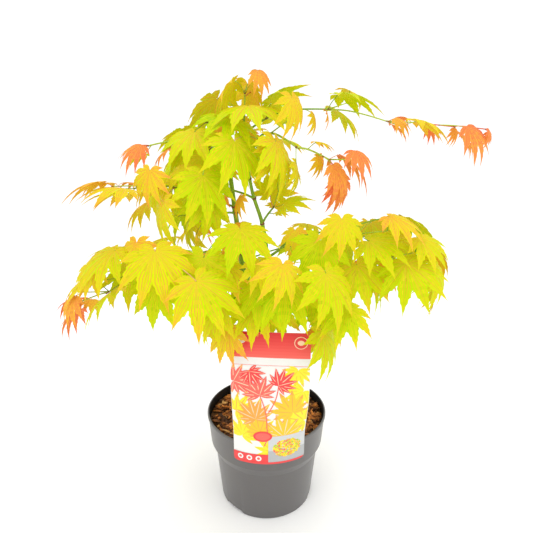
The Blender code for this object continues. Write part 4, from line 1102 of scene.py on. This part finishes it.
def make_pot():
    outer = [
        (0, FOOT_RISE), (BASE_RADIUS - FOOT_RING, FOOT_RISE), (BASE_RADIUS - FOOT_RING, 0),
        (BASE_RADIUS - BASE_CHAMFER, 0), (BASE_RADIUS, BASE_CHAMFER),
        (SHOULDER_RADIUS, SHOULDER_HEIGHT), (BAND_FOOT_RADIUS, BAND_FOOT_HEIGHT),
        (RIM_RADIUS - LIP, POT_HEIGHT - LIP_FOOT), (RIM_RADIUS, POT_HEIGHT - LIP_FOOT + 0.9),
        (RIM_RADIUS, POT_HEIGHT - 1.2), (RIM_RADIUS - 0.9, POT_HEIGHT), (RIM_RADIUS - LIP_TOP, POT_HEIGHT),
    ]
    wall = RIM_RADIUS - POT_WALL - LIP
    inner = [
        (RIM_RADIUS - LIP_TOP, POT_HEIGHT), (wall, POT_HEIGHT - 0.6), (wall, POT_HEIGHT - 6),
        (BAND_FOOT_RADIUS - POT_WALL, BAND_FOOT_HEIGHT), (SHOULDER_RADIUS - POT_WALL, SHOULDER_HEIGHT),
    ]
    shape = Shape()
    lathe(shape, rounded(outer, 1.2), 0, notch=True)
    lathe(shape, rounded(inner, 0.5), 1)
    body = noisy("pot_plastic", (79, 76, 75), 0.34, 900, 0.00004, 0.04, 0.95)
    # The inner wall gets a near-black finish: painted shade inside the pot, where the same grey plastic lies
    # in shadow.
    inside = plain("pot_inside", (22, 22, 22), 0.45)
    piece("nursery_pot", shape, [body, inside], ["pot"], sharp=40)


def bed_height(x, y):
    lump = np.sin(x * 0.21 + 1.3) * np.cos(y * 0.17 - 0.4) + np.sin((x + y) * 0.11)
    return SOIL_TOP + SOIL_LUMP * lump / 2


def add_chip(rng, shape):
    """A splinter of bark: a bent, tapering slab with ragged ends, lying on the bed."""
    radius, angle = (SOIL_EDGE - 5) * math.sqrt(rng.uniform(0.015, 1)), rng.uniform(0, 2 * math.pi)
    x, y = radius * math.cos(angle), radius * math.sin(angle)
    length = rng.uniform(8, 26)
    wide, thick = min(7.0, length * rng.uniform(0.17, 0.4)), rng.uniform(1.0, 2.6)
    if radius + length / 2 > SOIL_EDGE - 1:
        length = max(4.0, 2 * (SOIL_EDGE - 1 - radius))
    corners = []
    for i in range(CHIP_ROWS):
        s = i / (CHIP_ROWS - 1) * 2 - 1
        taper = 1 - 0.45 * s * s + rng.uniform(-0.15, 0.1)
        for across, up in CHIP_CORNERS:
            corners.append((
                s * length / 2 + rng.uniform(-0.1, 0.1) * length * (abs(s) > 0.9),
                across * wide / 2 * taper + rng.uniform(-0.08, 0.08) * wide,
                up * thick / 2 * taper + rng.uniform(-0.12, 0.12) * thick - s * s * thick * 0.4,
            ))
    turn = Matrix.Rotation(rng.uniform(0, 6.3), 3, "Z")
    turn = turn @ Matrix.Rotation(rng.gauss(0, 0.30), 3, "Y") @ Matrix.Rotation(rng.gauss(0, 0.45), 3, "X")
    points = np.array([tuple(turn @ Vector(p)) for p in corners])
    points += (x, y, float(bed_height(x, y)) + rng.uniform(0.2, 3.4))
    reach = np.hypot(points[:, 0], points[:, 1])
    points[:, :2] *= np.minimum(1, (SOIL_EDGE - 0.6) / reach)[:, None]
    ends = [(3, 2, 1, 0), (12, 13, 14, 15)]
    shape.add(points, [*grid_faces(CHIP_ROWS, 4, True), *ends], rng.choice(CHIP_COMMON))


def add_fibre(rng, shape):
    """A pale, bent fibre that lies on the bed, unless it would leave the pot at once."""
    radius, angle = 84 * math.sqrt(rng.random()), rng.uniform(0, 2 * math.pi)
    spot = Vector((radius * math.cos(angle), radius * math.sin(angle), 0))
    heading, turn = rng.uniform(0, 6.3), rng.uniform(-0.35, 0.35)
    path = []
    for k in range(8):
        height = float(bed_height(spot.x, spot.y)) + 2.6 + 1.6 * math.sin(k * 0.9)
        path.append(Vector((spot.x, spot.y, height)))
        spot = spot + Vector((math.cos(heading), math.sin(heading), 0)) * rng.uniform(1.6, 3.2)
        heading += turn
        if spot.length > SOIL_EDGE - 3:
            break
    if len(path) > 2:
        shape.add(*rod(path, [rng.uniform(0.25, 0.55)] * len(path), 5), 0)


def make_soil():
    """The bark in the pot: an uneven bed, chips of several browns on it, and a few pale fibres."""
    rng, dice = random.Random("bark"), np.random.default_rng(5)
    bed, chips, fibres = Shape(), Shape(), Shape()
    radius, angle = np.linspace(0.5, SOIL_EDGE - 0.8, BED_RINGS)[:, None], turn_of(BED_SIDES)[None, :]
    x, y = radius * np.cos(angle), radius * np.sin(angle)
    z = bed_height(x, y) + dice.uniform(-1.0, 1.0, x.shape) - 1.0
    bed.add(np.stack([x, y, z], -1).reshape(-1, 3), grid_faces(BED_RINGS, BED_SIDES, True), 0)
    for _ in range(CHIPS):
        add_chip(rng, chips)
    for _ in range(FIBRES):
        add_fibre(rng, fibres)
    dust = noisy("bark_dust", (70, 42, 16), 0.9, 300, 0.0008, 0.5)
    browns = [noisy(f"bark_chip_{k}", rgb, 0.85, 240, 0.0006, 0.28) for k, rgb in enumerate(CHIP_COLOURS)]
    piece("bark_bed", bed, [dust], ["soil"])
    piece("bark_chips", chips, browns, ["soil"], smooth=False)
    piece("bark_fibres", fibres, [plain("bark_fibre", (190, 142, 88), 0.8)])


# --- label
# Places on the label are in millimetres across and up from its lower left corner.

LABEL_TOP = LABEL_HIGH - LABEL_LOW
HEAD_BANDS, HEAD_HEIGHT = 8, 37  # of the coloured head
HEAD_COLOURS = ((216, 40, 38), (238, 96, 84))  # at the top and at the foot of the head
PRINT = {
    "white": (228, 228, 224),
    "coral": (226, 66, 66),
    "rose": (236, 100, 88),
    "yellow": (244, 221, 40),
    "gold": (246, 190, 40),
    "amber": (242, 158, 64),
    "grey": (196, 198, 198),
    "ash": (172, 174, 174),
    "leaf": (176, 196, 40),
    "blush": (246, 206, 170),
}
for k in range(HEAD_BANDS):
    PRINT[f"head_{k}"] = tuple(mix(a, b, k / (HEAD_BANDS - 1)) for a, b in zip(*HEAD_COLOURS))
INK = {name: number for number, name in enumerate(PRINT)}
PICTURE = (0.4, 3, LABEL_WIDTH - 0.4, 158)  # left, low, right and high side of the picture
BANDS = (  # left, low, right and high side, ink, and how far it stands off the sheet
    (3, LABEL_TOP - 48.6, LABEL_WIDTH - 3, LABEL_TOP - 48, "rose", 0.10),
    (*PICTURE[:3], PICTURE[3] - 2, "white", 0.08),
    (52, 3.2, LABEL_WIDTH, 46, "grey", 0.56),
    (52, 3.2, LABEL_WIDTH, 22, "ash", 0.59),
    (0, 0, 52, 16, "coral", 0.56),
    (0, 0, LABEL_WIDTH, 3.2, "coral", 0.72),
)
DISCS = (  # across and up, half of the width and of the height, ink, and how far it stands off the sheet
    *((11 + 13.5 * k, 9, 4.3, 4.3, "white", 0.62) for k in range(3)),
    *((11 + 13.5 * k, 9, 2.2, 2.2, "rose", 0.66) for k in range(3)),
    (44, 46, 13.5, 8.6, "coral", 0.66),
    (44, 46, 10.5, 6.0, "rose", 0.70),
    (12, LABEL_TOP - 10, 10.5, 8, "white", 0.30),
    (LABEL_WIDTH - 13, LABEL_TOP - 14, 9.0, 9.0, "blush", 0.30),
    (LABEL_WIDTH - 13, LABEL_TOP - 14, 8.0, 8.0, "head_2", 0.34),
    (LABEL_WIDTH - 13, LABEL_TOP - 14, 4.6, 3.6, "blush", 0.38),
)
MOTIFS = (  # across, up, length, heading in degrees from upwards, inks of lobe, vein and tip
    (92, 152, 30, 190, ("yellow", "gold", "gold")),
    (100, 120, 34, 215, ("yellow", "gold", "gold")),
    (60, 20, 34, 340, ("yellow", "gold", "yellow")),
    (14, 44, 36, 20, ("yellow", "gold", "gold")),
    (6, 84, 36, 60, ("yellow", "amber", "gold")),
    (40, 52, 34, 350, ("gold", "amber", "yellow")),
    (104, 66, 44, 290, ("yellow", "amber", "gold")),
    (74, 44, 40, 10, ("gold", "blush", "amber")),
    (86, 84, 40, 330, ("gold", "amber", "amber")),
    (34, 74, 38, 345, ("amber", "blush", "gold")),
    (4, 132, 34, 80, ("rose", "blush", "amber")),
    (40, 112, 36, 350, ("rose", "blush", "coral")),
    (66, 128, 30, 45, ("coral", "blush", "rose")),
    (26, 148, 26, 150, ("coral", "blush", "rose")),
)
MOTIF_LOBES, MOTIF_FAN = 9, 215  # degrees that the lobes fan out over
MOTIF_ROWS, MOTIF_TIP = 15, 10  # points along a lobe, and the last row of faces before its tip
MOTIF_STALKS = (  # where each starts and ends
    ((40, 112), (50, 60)), ((66, 128), (52, 84)), ((50, 60), (46, 30)),
)
INSET_DOTS = 420  # the leaves of a bush
INSET_INKS = ("yellow", "yellow", "leaf", "leaf", "amber", "rose", "gold")
TAB = (  # (radius, height) round the tab that hooks the sheet over the rim
    (RIM_RADIUS + GAP, POT_HEIGHT + 1.1), (RIM_RADIUS, POT_HEIGHT + GAP), (90.3, POT_HEIGHT + GAP),
    (86.5, SOIL_TOP + 4), (85.7, SOIL_TOP + 4), (89.6, POT_HEIGHT + 1.1),
)


def on_label(u, v, proud):
    """Points on the label's front from arrays of places across and up it."""
    u, v = np.broadcast_arrays(np.asarray(u, float) - LABEL_WIDTH / 2 + LABEL_SHIFT, v)
    return np.array([tuple(label_front(a, LABEL_LOW + b, proud)) for a, b in zip(u.ravel(), v.ravel())])


def corner_inset(v):
    """How far the sheet's side is drawn in at a height, by its rounded corners."""
    into = LABEL_CORNER - min(v, LABEL_TOP - v)
    return LABEL_CORNER - math.sqrt(LABEL_CORNER**2 - into**2) if into > 0 else 0.0


def band(shape, left, low, right, high, ink, proud, rows=None):
    """A patch of ink between two heights and two sides, kept inside the sheet's rounded outline."""
    rows = rows or max(3, int((high - low) / 3) + 2)
    columns = max(3, int((right - left) / 4) + 2)
    v = np.linspace(low, high, rows)
    ends = [(max(left, corner_inset(b)), min(right, LABEL_WIDTH - corner_inset(b))) for b in v]
    u = np.stack([np.linspace(a, b, columns) for a, b in ends])
    shape.add(on_label(u, v[:, None], proud), grid_faces(rows, columns), INK[ink])


def disc(shape, u, v, wide, high, ink, proud, sides=28):
    """An oval of ink."""
    angle, reach = turn_of(sides), np.array([0.02, 0.5, 1.0])[:, None]
    points = on_label(u + reach * wide * np.cos(angle), v + reach * high * np.sin(angle), proud)
    shape.add(points, grid_faces(3, sides, True), INK[ink])


def motif(shape, rng, u, v, length, heading, inks, proud):
    """A printed maple leaf: lobes that fan out from its hub, with veins and tips in inks of their own."""
    lobe, vein, tip = (INK[name] for name in inks)
    left, low, right, high = PICTURE
    for i in range(MOTIF_LOBES):
        share = i / (MOTIF_LOBES - 1) * 2 - 1
        a = math.radians(heading + share * MOTIF_FAN / 2)
        reach = length * (1 - 0.42 * abs(share) ** 1.4) * rng.uniform(0.92, 1.06)
        t = np.linspace(0.02, 1, MOTIF_ROWS)[:, None]
        wide = reach * 0.13 * np.sin(np.pi * t**0.75) ** 0.9 + 0.05
        wide = wide * (1 + 0.14 * (np.arange(MOTIF_ROWS) % 2)[:, None])
        c = np.array([-1, -0.12, 0.12, 1])[None, :]
        x = u + t * reach * math.sin(a) + wide * c * math.cos(a)
        y = v + t * reach * math.cos(a) - wide * c * math.sin(a)
        points = on_label(np.clip(x, left, right), np.clip(y, low, high), proud + 0.006 * (i % 3))
        outer = [lobe if row <= MOTIF_TIP else tip for row in range(MOTIF_ROWS - 1)]
        colours = [ink for side in outer for ink in (side, vein, side)]
        shape.add(points, grid_faces(MOTIF_ROWS, 4), colours)


def make_print():
    """The print: a coral head, a picture of maple leaves, an inset with a bush, a foot and some ovals."""
    rng, ink = random.Random("label"), Shape()
    for k in range(HEAD_BANDS):
        high, low = (LABEL_TOP - HEAD_HEIGHT * j / HEAD_BANDS for j in (k, k + 1))
        band(ink, 0.0, low, LABEL_WIDTH, high, f"head_{k}", 0.10, 12)
    for patch in BANDS:
        band(ink, *patch)
    for number, places in enumerate(MOTIFS):
        motif(ink, rng, *places, 0.11 + 0.03 * number)
    for a, b in MOTIF_STALKS:
        t = np.linspace(0, 1, 12)[:, None]
        x = mix(a[0], b[0], t) + 3 * np.sin(np.pi * t) + np.array([[-0.7, 0.7]])
        ink.add(on_label(x, mix(a[1], b[1], t), 0.52), grid_faces(12, 2), INK["rose"])
    for _ in range(INSET_DOTS):
        angle, reach = rng.uniform(0, 6.3), math.sqrt(rng.random())
        u, v = 80 + 21 * reach * math.cos(angle), 25 + 14 * reach * math.sin(angle)
        name = rng.choice(INSET_INKS)
        disc(ink, u, v, rng.uniform(0.9, 2.0), rng.uniform(0.8, 1.7), name, 0.62 + rng.uniform(0, 0.08), 7)
    for oval in DISCS:
        disc(ink, *oval)
    finishes = [plain("ink_" + name, colour, 0.35) for name, colour in PRINT.items()]
    piece("label_print", ink, finishes, smooth=False)


def make_label():
    """The plant label's sheet with its tab, and its print."""
    sheet, half, n = Shape(), LABEL_TAB_WIDTH / 2, len(TAB)
    sheet.add(*label_sheet(LABEL_THICKNESS, 0.0, *FINE_SHEET), 0)
    hook = [tuple(LABEL_SPIN @ Vector((x, -radius, z))) for x in (-half, half) for radius, z in TAB]
    sides = [(0, 1, 2, 5), (2, 3, 4, 5), (11, 8, 7, 6), (11, 10, 9, 8)]
    sheet.add(hook, [*sides, *((k, n + k, n + (k + 1) % n, (k + 1) % n) for k in range(n))], 0)
    plastic = noisy("label_plastic", (227, 226, 222), 0.32, 60, 0.00003, 0.01)
    piece("label_sheet", sheet, [plastic], ["label"], sharp=40)
    make_print()


# --- floor, light and camera

SKY = 1.12  # strength of the white light from all round
LAMPS = (  # name, place, size and power
    ("key", (-0.9, -1.5, 1.7), 1.4, 7.5),
    ("fill", (1.5, -1.1, 1.0), 1.6, 6),
    ("top", (0.2, 0.3, 2.2), 1.6, 6),
)
LIT_PLACE = Vector((0, 0, 0.35))  # what the lamps face
CAMERA_PLACE = (0, -0.638, 0.573)
CAMERA_TILT, CAMERA_LENS = 73.8, 30.39  # degrees from straight down; millimetres


def make_stage():
    bpy.ops.mesh.primitive_plane_add(size=60)
    floor = bpy.context.object
    floor.name = "floor"
    floor.data.materials.append(plain("floor_white", (255, 255, 255), 0.9, 0.0))
    world = bpy.data.worlds.new("studio")
    world.use_nodes = True
    background = world.node_tree.nodes["Background"]
    background.inputs["Color"].default_value = (1, 1, 1, 1)
    background.inputs["Strength"].default_value = SKY
    bpy.context.scene.world = world
    for name, spot, size, power in LAMPS:
        lamp = bpy.data.lights.new(name, "AREA")
        lamp.size, lamp.energy = size, power
        light = bpy.data.objects.new(name, lamp)
        light.location = spot
        light.rotation_euler = (LIT_PLACE - Vector(spot)).to_track_quat("-Z", "Y").to_euler()
        bpy.context.scene.collection.objects.link(light)


def make_camera():
    lens = bpy.data.cameras.new("camera")
    lens.sensor_width = 36
    lens.lens = CAMERA_LENS
    camera = bpy.data.objects.new("camera", lens)
    camera.location = CAMERA_PLACE
    camera.rotation_euler = (math.radians(CAMERA_TILT), 0, 0)
    bpy.context.scene.collection.objects.link(camera)
    bpy.context.scene.camera = camera
    bpy.context.scene.view_settings.view_transform = "Standard"


make_plant()
make_pot()
make_soil()
make_label()
make_stage()
make_camera()
